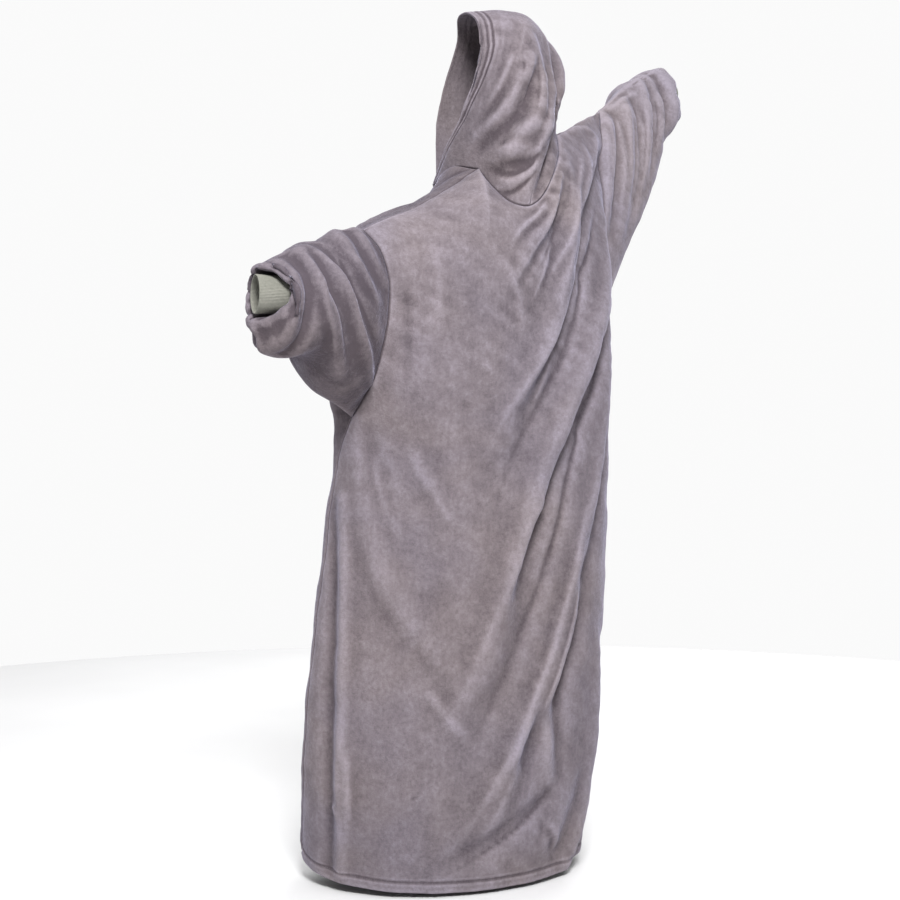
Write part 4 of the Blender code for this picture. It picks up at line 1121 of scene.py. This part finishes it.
class Board:
    """Short ways to wire one material's shader nodes."""

    def __init__(self, name: str) -> None:
        """Start a material with its Principled shader."""
        self.material = bpy.data.materials.new(name)
        self.material.use_nodes = True
        self.tree = self.material.node_tree
        self.shader = self.tree.nodes["Principled BSDF"]
        self.place = self.tree.nodes.new("ShaderNodeTexCoord").outputs["Object"]

    def attribute(self, name: str) -> Socket:
        """Value that the mesh carries by that name."""
        return self.node("ShaderNodeAttribute", {}, attribute_name=name).outputs["Fac"]

    def node(self, kind: str, links: dict[str | int, object], **settings: object) -> bpy.types.Node:
        """Add a node.

        Args:
            kind: its Blender type.
            links: for each input, a socket to link or a value to set.
            settings: properties of the node.

        Returns:
            The node.
        """
        made = self.tree.nodes.new(kind)
        for key, value in settings.items():
            setattr(made, key, value)
        self.wire(made, links)
        return made

    def wire(self, node: bpy.types.Node, links: dict[str | int, object]) -> None:
        """Link or set the inputs of a node."""
        for key, value in links.items():
            if isinstance(value, Socket):
                self.tree.links.new(value, node.inputs[key])
            else:
                node.inputs[key].default_value = value

    def stretched(self, scale: Triple) -> Socket:
        """Place on the garment, scaled along each axis."""
        return self.node("ShaderNodeMapping", {"Vector": self.place, "Scale": scale}).outputs["Vector"]

    def cut_place(self, stretch: Triple) -> Socket:
        """Place on the cut in metres, stretched along each direction."""
        at = self.node("ShaderNodeUVMap", {}, uv_map="cut").outputs["UV"]
        return self.node("ShaderNodeMapping", {"Vector": at, "Scale": stretch}).outputs["Vector"]

    def noise(self, at: Socket, scale: float, detail: float = 2.0,
              roughness: float = 0.5, distortion: float = 0.0) -> Socket:
        """Cloudy value around a half."""
        links = {"Vector": at, "Scale": scale, "Detail": detail, "Roughness": roughness,
                 "Distortion": distortion}
        return self.node("ShaderNodeTexNoise", links).outputs["Fac"]

    def wave(self, stretch: Triple, scale: float, distortion: float,
             direction: str) -> Socket:
        """Bands across the cut."""
        links = {"Vector": self.cut_place(stretch), "Scale": scale, "Distortion": distortion}
        return self.node("ShaderNodeTexWave", links, bands_direction=direction).outputs["Fac"]

    def weigh(self, start: float, *terms: tuple[Socket, float]) -> Socket:
        """Sum of values times weights, from a start value."""
        total: object = start
        for value, weight in terms:
            total = self.node("ShaderNodeMath", {0: value, 1: weight, 2: total},
                              operation="MULTIPLY_ADD").outputs[0]
        return total

    def between(self, factor: Socket,
                stops: tuple[tuple[float, Colour], ...]) -> Socket:
        """Colour read from a ramp."""
        made = self.node("ShaderNodeValToRGB", {"Fac": factor})
        ramp = made.color_ramp
        while len(ramp.elements) < len(stops):
            ramp.elements.new(0.5)
        for element, (place, colour) in zip(ramp.elements, stops):
            element.position, element.color = place, (*colour, 1)
        return made.outputs["Color"]

    def bump(self, *layers: tuple[Socket, float, float]) -> Socket:
        """Stacked bumps, each a height, its strength and its depth in metres."""
        normal = None
        for height, strength, depth in layers:
            links: dict[str | int, object] = {"Height": height, "Strength": strength, "Distance": depth}
            if normal is not None:
                links["Normal"] = normal
            normal = self.node("ShaderNodeBump", links).outputs["Normal"]
        return normal

    def finish(self, links: dict[str, object]) -> Material:
        """Set or link the shader's inputs and give back the material."""
        self.wire(self.shader, links)
        return self.material


@dataclass(frozen=True)
class Finish:
    """A named material with a dark and a light tone."""
    name: str
    dark: Colour
    light: Colour

    def tones(self, board: Board, shade: Socket, low: float = 0.1) -> Socket:
        """Colour from the dark tone at a low shade to the light one at its mirror value."""
        return board.between(shade, ((low, self.dark), (1 - low, self.light)))


@dataclass(frozen=True)
class PlushFleece:
    """Brushed plush: pile brushed in soft streaks and clouds, painted lighter on ridges and darker in
    valleys and on shaded pieces, with a velvet sheen.
    """
    name: str = "mauve_grey_fleece"
    deep: Colour = (0.082, 0.067, 0.076)
    middle: Colour = (0.172, 0.147, 0.160)
    light: Colour = (0.288, 0.256, 0.288)
    warm: Colour = (1.02, 1.00, 0.98)
    cool: Colour = (0.98, 0.985, 1.04)

    def made(self) -> Material:
        """Build the material."""
        board = Board(self.name)
        streak = board.noise(board.stretched((22.0, 22.0, 4.0)), 1.0, 3.0, 0.55, 0.5)
        brushed = board.noise(board.stretched((80.0, 80.0, 28.0)), 1.0, 3.0, 0.6, 0.6)
        cloud = board.noise(board.place, 6.0, 3.0, 0.5, 0.4)
        clump = board.noise(board.place, 130.0, 3.0, 0.62)
        grain = board.noise(board.place, 560.0, 2.0, 0.65)
        # Painted light and shade: the crest attribute paints ridges lighter and valleys darker, and the
        # piece's painted shading paints whole pieces darker or lighter; the noises are the pile's own uneven
        # tone.
        shade = board.weigh(-0.57, (streak, 0.40), (brushed, 0.34), (cloud, 0.20), (clump, 0.62),
                            (grain, 0.50), (board.attribute("crest"), 0.42), (board.attribute("painted_shading"), 1.0))
        colour = board.between(shade, ((0.0, self.deep), (0.5, self.middle), (1.0, self.light)))
        hue = board.noise(board.place, 3.6, 2.0, 0.5, 0.6)
        tint = board.between(board.weigh(0.0, (hue, 1.0)), ((0.38, self.warm), (0.62, self.cool)))
        tinted = board.node("ShaderNodeMix", {0: 1.0, 6: colour, 7: tint}, data_type="RGBA",
                            blend_type="MULTIPLY").outputs[2]
        normal = board.bump((clump, 0.75, 0.0022), (grain, 0.8, 0.0009))
        return board.finish({
            "Base Color": tinted, "Normal": normal, "Roughness": 0.92, "Specular IOR Level": 0.12,
            "Sheen Weight": 0.34, "Sheen Roughness": 0.32, "Sheen Tint": (0.78, 0.76, 1.0, 1.0)})


@dataclass(frozen=True)
class RibKnit(Finish):
    """Sage-grey rib knit: rows of small stitches along the ribs, slightly heathered."""
    name: str = "sage_grey_rib"
    dark: Colour = (0.165, 0.167, 0.142)
    light: Colour = (0.300, 0.295, 0.262)

    def made(self) -> Material:
        """Build the material."""
        board = Board(self.name)
        rows = board.wave((0.0, 1.0, 0.0), 190.0, 0.0, "Y")
        heather = board.noise(board.place, 260.0, 3.0, 0.6)
        cloud = board.noise(board.place, 24.0, 2.0)
        shade = board.weigh(-0.25, (heather, 0.7), (cloud, 0.5), (rows, 0.2))
        return board.finish({
            "Base Color": self.tones(board, shade),
            "Normal": board.bump((rows, 0.4, 0.0005), (heather, 0.3, 0.0004)),
            "Roughness": 0.86, "Specular IOR Level": 0.25, "Sheen Weight": 0.25, "Sheen Roughness": 0.4})


@dataclass(frozen=True)
class WovenTape(Finish):
    """Woven zip tape: a fine diagonal weave in dark mauve-grey."""
    name: str = "grey_zip_tape"
    dark: Colour = (0.085, 0.072, 0.080)
    light: Colour = (0.165, 0.143, 0.156)

    def made(self) -> Material:
        """Build the material."""
        board = Board(self.name)
        weave = board.wave((1.0, 1.0, 1.0), 330.0, 0.6, "DIAGONAL")
        fleck = board.noise(board.place, 420.0, 2.0)
        shade = board.weigh(-0.1, (weave, 0.6), (fleck, 0.6))
        return board.finish({
            "Base Color": self.tones(board, shade),
            "Normal": board.bump((weave, 0.6, 0.0003)), "Roughness": 0.82, "Specular IOR Level": 0.3})


@dataclass(frozen=True)
class SewingThread(Finish):
    """Matt polyester thread, a shade darker than the pile round it."""
    name: str = "mauve_thread"
    dark: Colour = (0.090, 0.070, 0.083)
    light: Colour = (0.190, 0.155, 0.178)

    def made(self) -> Material:
        """Build the material."""
        board = Board(self.name)
        twist = board.noise(board.place, 900.0, 2.0)
        return board.finish({
            "Base Color": self.tones(board, twist, 0.2),
            "Normal": board.bump((twist, 0.4, 0.0003)), "Roughness": 0.7, "Specular IOR Level": 0.3})


@dataclass(frozen=True)
class DullMetal(Finish):
    """Dull gunmetal of the zip: brushed along its length, scuffed, with grime in the grain."""
    name: str = "dull_zip_metal"
    dark: Colour = (0.210, 0.205, 0.215)
    light: Colour = (0.420, 0.410, 0.425)

    def made(self) -> Material:
        """Build the material."""
        board = Board(self.name)
        grain = board.noise(board.stretched((1400.0, 1400.0, 130.0)), 1.0, 2.0)
        scuff = board.noise(board.place, 330.0, 3.0, 0.65)
        shade = board.weigh(-0.15, (grain, 0.6), (scuff, 0.7))
        rough = board.weigh(0.20, (scuff, 0.32))
        return board.finish({
            "Base Color": self.tones(board, shade), "Metallic": 1.0,
            "Roughness": rough, "Normal": board.bump((grain, 0.25, 0.0001), (scuff, 0.15, 0.0002))})


@dataclass(frozen=True)
class PaleFloor(Finish):
    """Plain pale studio floor."""
    name: str = "pale_floor"
    dark: Colour = (0.74, 0.74, 0.745)
    light: Colour = (0.77, 0.77, 0.775)

    def made(self) -> Material:
        """Build the material."""
        board = Board(self.name)
        cloud = board.noise(board.place, 2.0, 2.0)
        return board.finish({"Base Color": self.tones(board, cloud, 0.3),
                             "Roughness": 0.85, "Specular IOR Level": 0.2})


@dataclass
class QuarterZip:
    """Closed quarter zip down the middle of the front: woven tape, interlocked teeth, sewn edges."""
    length: float = 0.25
    tape_width: float = 0.026
    tape_start: float = 0.003
    tape_lift: float = 0.0009
    tape_thickness: float = 0.0012
    cord_rise: float = 0.0004
    cord_width: float = 0.0030
    stitch_inset: float = 0.0026
    teeth_start: float = 0.007
    teeth_lift: float = 0.0026
    teeth_end: float = 0.012
    pitch: float = 0.0026
    tooth: Triple = (0.0042, 0.0019, 0.0018)
    stations: int = 90

    def surface(self, form: ClothForm, distances: Array,
                offsets: Array) -> tuple[Array, Array]:
        """Front surface beside its middle line.

        Args:
            form: the cloth.
            distances: lengths down from the throat.
            offsets: lengths to either side of the middle.

        Returns:
            Points and outward directions, distances by offsets by 3.
        """
        grid, normals = form.grids["front_panel"], form.normals["front_panel"]
        middle = (grid.shape[1] - 1) // 2
        line = grid[::-1, middle]
        run = run_from(line, 0)
        along = 1 - np.interp(distances, run, np.linspace(0, 1, len(run)))
        spacing = np.linalg.norm(grid[::-1, middle + 1] - line, axis=-1)
        step = np.interp(distances, run, spacing)
        across = (middle + offsets[None, :] / step[:, None]) / (grid.shape[1] - 1)
        along = np.broadcast_to(along[:, None], across.shape)
        return on_grid(grid, across, along, False), unit(on_grid(normals, across, along, False))

    def tape(self, form: ClothForm, finish: Material) -> Object:
        """Tape: a strip over the front with a thicker corded edge under the teeth."""
        distances = np.linspace(self.tape_start, self.length, self.stations)
        offsets = np.linspace(-self.tape_width / 2, self.tape_width / 2, 15)
        points, out = self.surface(form, distances, offsets)
        cord = self.cord_rise * np.exp(-(offsets / self.cord_width) ** 2)[None, :, None]
        wall = ClothWall("zip_tape_woven", points + out * (self.tape_lift + self.tape_thickness + cord), out,
                         np.full(points.shape[:2] + (1,), self.tape_thickness), False,
                         reaches=((0.0001, 0.07), (0.0003, 0.24), (0.0006, 0.52)))
        return wall.build(finish)

    def teeth(self, form: ClothForm, finish: Material) -> Object:
        """Teeth: chamfered blocks alternately from the left and the right, their heads meshed."""
        distances = np.arange(self.teeth_start, self.length - self.teeth_end, self.pitch / 2)
        points, out = self.surface(form, distances, np.array([-0.001, 0.0, 0.001]))
        centre, out = points[:, 1], out[:, 1]
        across = unit(points[:, 2] - points[:, 0])
        down = np.cross(across, out)
        hand = np.where(np.arange(len(distances)) % 2, 1.0, -1.0)[:, None]
        wide, long, tall = self.tooth
        corners = np.array([(-0.5, -0.28), (-0.36, -0.5), (0.3, -0.5), (0.5, -0.34),
                            (0.5, 0.34), (0.3, 0.5), (-0.36, 0.5), (-0.5, 0.28)])
        rings = []
        for height, shrink in ((0.0, 0.90), (0.3, 1.0), (0.75, 0.96), (1.0, 0.72)):
            x = corners[None, :, :1] * wide * shrink + hand[:, None] * wide * 0.24
            y = corners[None, :, 1:] * long * shrink
            rings.append(centre[:, None] + across[:, None] * x + down[:, None] * y
                         + out[:, None] * (self.teeth_lift + tall * height))
        return put_in_scene("zip_teeth_meshed", *ring_solids(np.stack(rings, 1)), finish, smooth=False)

    def sewn_lines(self, form: ClothForm) -> list[tuple[Array, Array]]:
        """Topstitch on both edges of the tape."""
        distances = np.linspace(2 * self.tape_start, self.length - self.tape_start, self.stations)
        offsets = np.array([-1.0, 1.0]) * (self.tape_width / 2 - self.stitch_inset)
        points, out = self.surface(form, distances, offsets)
        height = self.tape_lift + self.tape_thickness
        return [(points[:, k] + out[:, k] * height, out[:, k]) for k in (0, 1)]


@dataclass
class Studio:
    """Pale floor, soft light and the camera at the photograph's viewing angle."""
    turn: float = math.radians(35)
    distance: float = 3.4
    height: float = 0.95
    aside: float = -0.10
    focal_pixels: float = 1717.0
    frame_pixels: float = 900.0
    horizon_pixels: float = 390.0
    surround: tuple[float, float] = (0.26, 0.96)
    lamps: dict[str, tuple[float, ...]] = field(default_factory=lambda: {
        "key": (3.0, 0.1, 2.9, 0.8, 165), "far_side": (-2.8, 0.8, 2.4, 2.2, 70),
        "ceiling": (0.0, 0.0, 6.0, 12.0, 420)})
    aim_height: float = 1.0
    floor_radius: float = 3.0
    floor_sides: int = 96

    def directions(self) -> tuple[Vector, Vector]:
        """Level directions from the garment to the camera and to the camera's right."""
        back = Vector((math.sin(self.turn), math.cos(self.turn), 0))
        return back, Vector((-back.y, back.x, 0))

    def camera(self) -> None:
        """Level camera behind the garment, framed by a vertical shift."""
        back, right = self.directions()
        data = bpy.data.cameras.new("camera")
        data.sensor_width = 36
        data.lens = self.focal_pixels / self.frame_pixels * data.sensor_width
        data.shift_y = (self.horizon_pixels - self.frame_pixels / 2) / self.frame_pixels
        camera = added("camera", data)
        place = back * self.distance + right * self.aside + Vector((0, 0, self.height - NECK_HEIGHT))
        turned = Matrix((right, Vector((0, 0, 1)), back)).transposed().to_4x4()
        camera.matrix_world = Matrix.Translation(place) @ turned
        bpy.context.scene.camera = camera

    def lamp(self, name: str, back: float, right: float, height: float, size: float, power: float) -> None:
        """Soft square lamp aimed at the garment's middle.

        Args:
            name: its name.
            back: distance towards the camera.
            right: distance to the camera's right.
            height: height over the floor.
            size: its side.
            power: its watts.
        """
        data = bpy.data.lights.new(name, "AREA")
        data.size, data.energy = size, power
        lamp = added(name, data)
        towards, aside = self.directions()
        place = towards * back + aside * right + Vector((0, 0, height - NECK_HEIGHT))
        aim = Vector((0, 0, self.aim_height - NECK_HEIGHT)) - place
        lamp.matrix_world = Matrix.Translation(place) @ aim.to_track_quat("-Z", "Y").to_matrix().to_4x4()

    def light(self) -> None:
        """Key from above the camera, weaker fills, a wide ceiling lamp and a pale surround."""
        for name, (back, right, height, size, power) in self.lamps.items():
            self.lamp(name, back, right, height, size, power)
        world = bpy.data.worlds.new("surround")
        world.use_nodes = True
        tree = world.node_tree
        seen = tree.nodes.new("ShaderNodeLightPath").outputs["Is Camera Ray"]
        strength = tree.nodes.new("ShaderNodeMapRange")
        strength.inputs["To Min"].default_value, strength.inputs["To Max"].default_value = self.surround
        tree.links.new(seen, strength.inputs["Value"])
        tree.links.new(strength.outputs["Result"], tree.nodes["Background"].inputs["Strength"])
        tree.nodes["Background"].inputs["Color"].default_value = (1.0, 1.0, 1.0, 1)
        bpy.context.scene.world = world
        bpy.context.scene.view_settings.view_transform = "Standard"

    def floor(self) -> None:
        """Pale floor that the back hem touches."""
        turn = 2 * math.pi * np.arange(self.floor_sides) / self.floor_sides
        points = np.stack([np.cos(turn), np.sin(turn), 0 * turn], -1) * self.floor_radius
        mesh = bpy.data.meshes.new("floor")
        mesh.from_pydata((points - (0, 0, NECK_HEIGHT)).tolist(), [], [list(range(self.floor_sides))])
        mesh.materials.append(PaleFloor().made())
        added("floor", mesh)


@dataclass
class Pullover:
    """The whole garment: cloth walls, cuffs, zip and sewing."""
    fleece_thickness: float = 0.0040
    hem_thickness: float = 0.0068
    face_thickness: float = 0.0046
    hem_reach: float = 0.030
    face_reach: float = 0.034
    band_ease: float = 0.008
    fine_share: float = 1.25
    cuts: dict[str, Triple] = field(default_factory=lambda: {
        "back": (1.02, 1.56, 1.10), "front": (1.02, 1.56, 1.06),
        "sleeve": (0.86, 0.52, 0.23), "hood": (0.40, 0.42, 0.104)})
    # Painted light and shade of each piece: the front panel and left sleeve painted darker as if in shade,
    # the right sleeve lighter as if lit, the hood a little darker.
    painted_piece_shading: dict[str, float] = field(default_factory=lambda: {
        "back_panel": 0.0, "front_panel": -0.30, "sleeve_left": -0.38, "sleeve_right": 0.18,
        "hood_left": -0.06, "hood_right": -0.06})

    def form(self) -> ClothForm:
        """Work out every cloth surface, creased and pressed."""
        cuffs = {
            Side.LEFT: RibCuff(Side.LEFT, (0.5467, 0.1415, 1.1136), (0.617, 0.1225, 1.1150), 0.0347),
            Side.RIGHT: RibCuff(Side.RIGHT, (-0.560, -0.1786, 1.6054), (-0.615, -0.1990, 1.6290), 0.0342)}
        sleeves = {
            Side.LEFT: SleeveCut(Side.LEFT, (
                (0, 363, 63, 1244, 345, 0, 900, 85, 75, 16000),
                (200, 420, 72, 1239, 391, 32, 918, 85, 80, 16000),
                (400, 470, 86, 1214, 449, 62, 951, 82, 80, 14000),
                (600, 516, 103, 1204, 498, 99, 1010, 77, 75, 10000),
                (750, 548, 117, 1196, 546, 117, 1004, 72, 72, 2000),
                (840, 577, 124, 1184, 582, 120, 1006, 70, 68, -6000),
                (900, 601, 127, 1172, 610, 119, 1020, 67, 62, -13000),
                (940, 606, 127, 1171, 614, 122, 1042, 60, 54, -15000)), 0.052),
            Side.RIGHT: SleeveCut(Side.RIGHT, (
                (0, -326, -89, 1543, -309, -28, 1160, 60, 85, 197000),
                (200, -383, -111, 1579, -368, -60, 1231, 50, 95, 197000),
                (400, -438, -132, 1616, -434, -87, 1323, 42, 95, 198000),
                (600, -499, -151, 1645, -497, -116, 1412, 36, 90, 198000),
                (750, -538, -165, 1664, -540, -146, 1494, 44, 80, 199000),
                (840, -562, -177, 1671, -567, -163, 1514, 57, 66, 200000),
                (900, -576, -187, 1675, -585, -175, 1532, 61, 61, 200000),
                (940, -584, -191, 1676, -597, -182, 1542, 60, 57, 200000)), 0.022)}
        form = ClothForm(BodyCut(), HoodCut(), sleeves, cuffs)
        form.lay_out()
        form.raise_creases(MAIN_FOLDS, False, 1.0)
        form.raise_creases(FINE_CREASES, True, self.fine_share)
        form.gather_mouths()
        form.press_hems()
        return form

    def wall(self, form: ClothForm, name: str) -> ClothWall:
        """Wall of one piece, thicker at the bottom hem and the hood's face band."""
        grid = form.grids[name]
        thickness = np.full(grid.shape[:2], self.fleece_thickness)
        if name.endswith("panel"):
            hem = smoothstep((self.hem_reach - run_from(grid, 0)) / self.band_ease)
            thickness = thickness + (self.hem_thickness - self.fleece_thickness) * hem
        if name.startswith("hood"):
            band = smoothstep((self.face_reach - run_from(grid, 1)) / self.band_ease)
            thickness = thickness + (self.face_thickness - self.fleece_thickness) * band
        return ClothWall(name + "_plush", grid, form.normals[name], thickness[..., None], form.wraps(name),
                         painted_shading=self.painted_piece_shading[name])

    def dress(self, piece: Object, slot: str, *nodes: str) -> Object:
        """Let a piece ride on the garment and stand for its solids."""
        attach(piece, GARMENT)
        if nodes:
            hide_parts(*nodes)
        return piece

    def build(self, nodes: dict[str, Object]) -> None:
        """Build and dress every piece.

        Args:
            nodes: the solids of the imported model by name.
        """
        form = self.form()
        fleece, rib, tape = PlushFleece().made(), RibKnit().made(), WovenTape().made()
        metal, thread = DullMetal().made(), SewingThread().made()
        hem_lines = [line_at(form.grids[n], form.normals[n], form.hem_band, 0)
                     for n in ("back_panel", "front_panel")]
        face_lines = [line_at(form.grids["hood_" + s.value], form.normals["hood_" + s.value], d, 1)
                      for s in Side for d in form.face_lines]
        stitching = Stitching()
        hem = self.dress(stitching.build("hem_stitches", hem_lines, thread), PlushFleece.name)
        face = self.dress(stitching.build("face_band_stitches", face_lines, thread), PlushFleece.name)
        for name in form.grids:
            piece = self.dress(self.wall(form, name).build(fleece), PlushFleece.name, name)
            sewn = {"back_panel": [hem], "hood_left": [face]}.get(name, [])
        for side, cuff in form.cuffs.items():
            self.knit_cuff(side, cuff, rib)
        zip_front = QuarterZip()
        self.dress(zip_front.tape(form, tape), WovenTape.name, "zip_tape")
        self.dress(zip_front.teeth(form, metal), DullMetal.name, "zip_teeth")
        sewn = Stitching(length=0.0024, pitch=0.0034, radius=0.0003).build(
            "zip_stitches", zip_front.sewn_lines(form), thread)
        self.dress(sewn, WovenTape.name)
        for name in ("zip_stop", "zip_slider", "zip_pull"):
            nodes[name].data.materials.clear()
            nodes[name].data.materials.append(metal)

    def knit_cuff(self, side: Side, cuff: RibCuff, rib: Material) -> None:
        outer = cuff.surface()
        start, axis, _, _ = cuff.axes()
        middle = start + axis * ((outer - start) @ axis)[..., None]
        wall = ClothWall(f"cuff_{side.value}_rib", outer, unit(outer - middle),
                         np.full(outer.shape[:2] + (1,), cuff.thickness - cuff.rib_depth), True)
        piece = self.dress(wall.build(rib), RibKnit.name, "cuff_" + side.value)
        cuff.length()


def main() -> None:
    """Load the frame, build the garment and its studio, and note the sizes."""
    logging.basicConfig(level=logging.INFO, format="%(name)s: %(message)s")
    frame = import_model()
    studio = Studio()
    studio.camera()
    studio.light()
    studio.floor()
    Pullover().build(frame["nodes"])


if __name__ == "__main__":
    main()
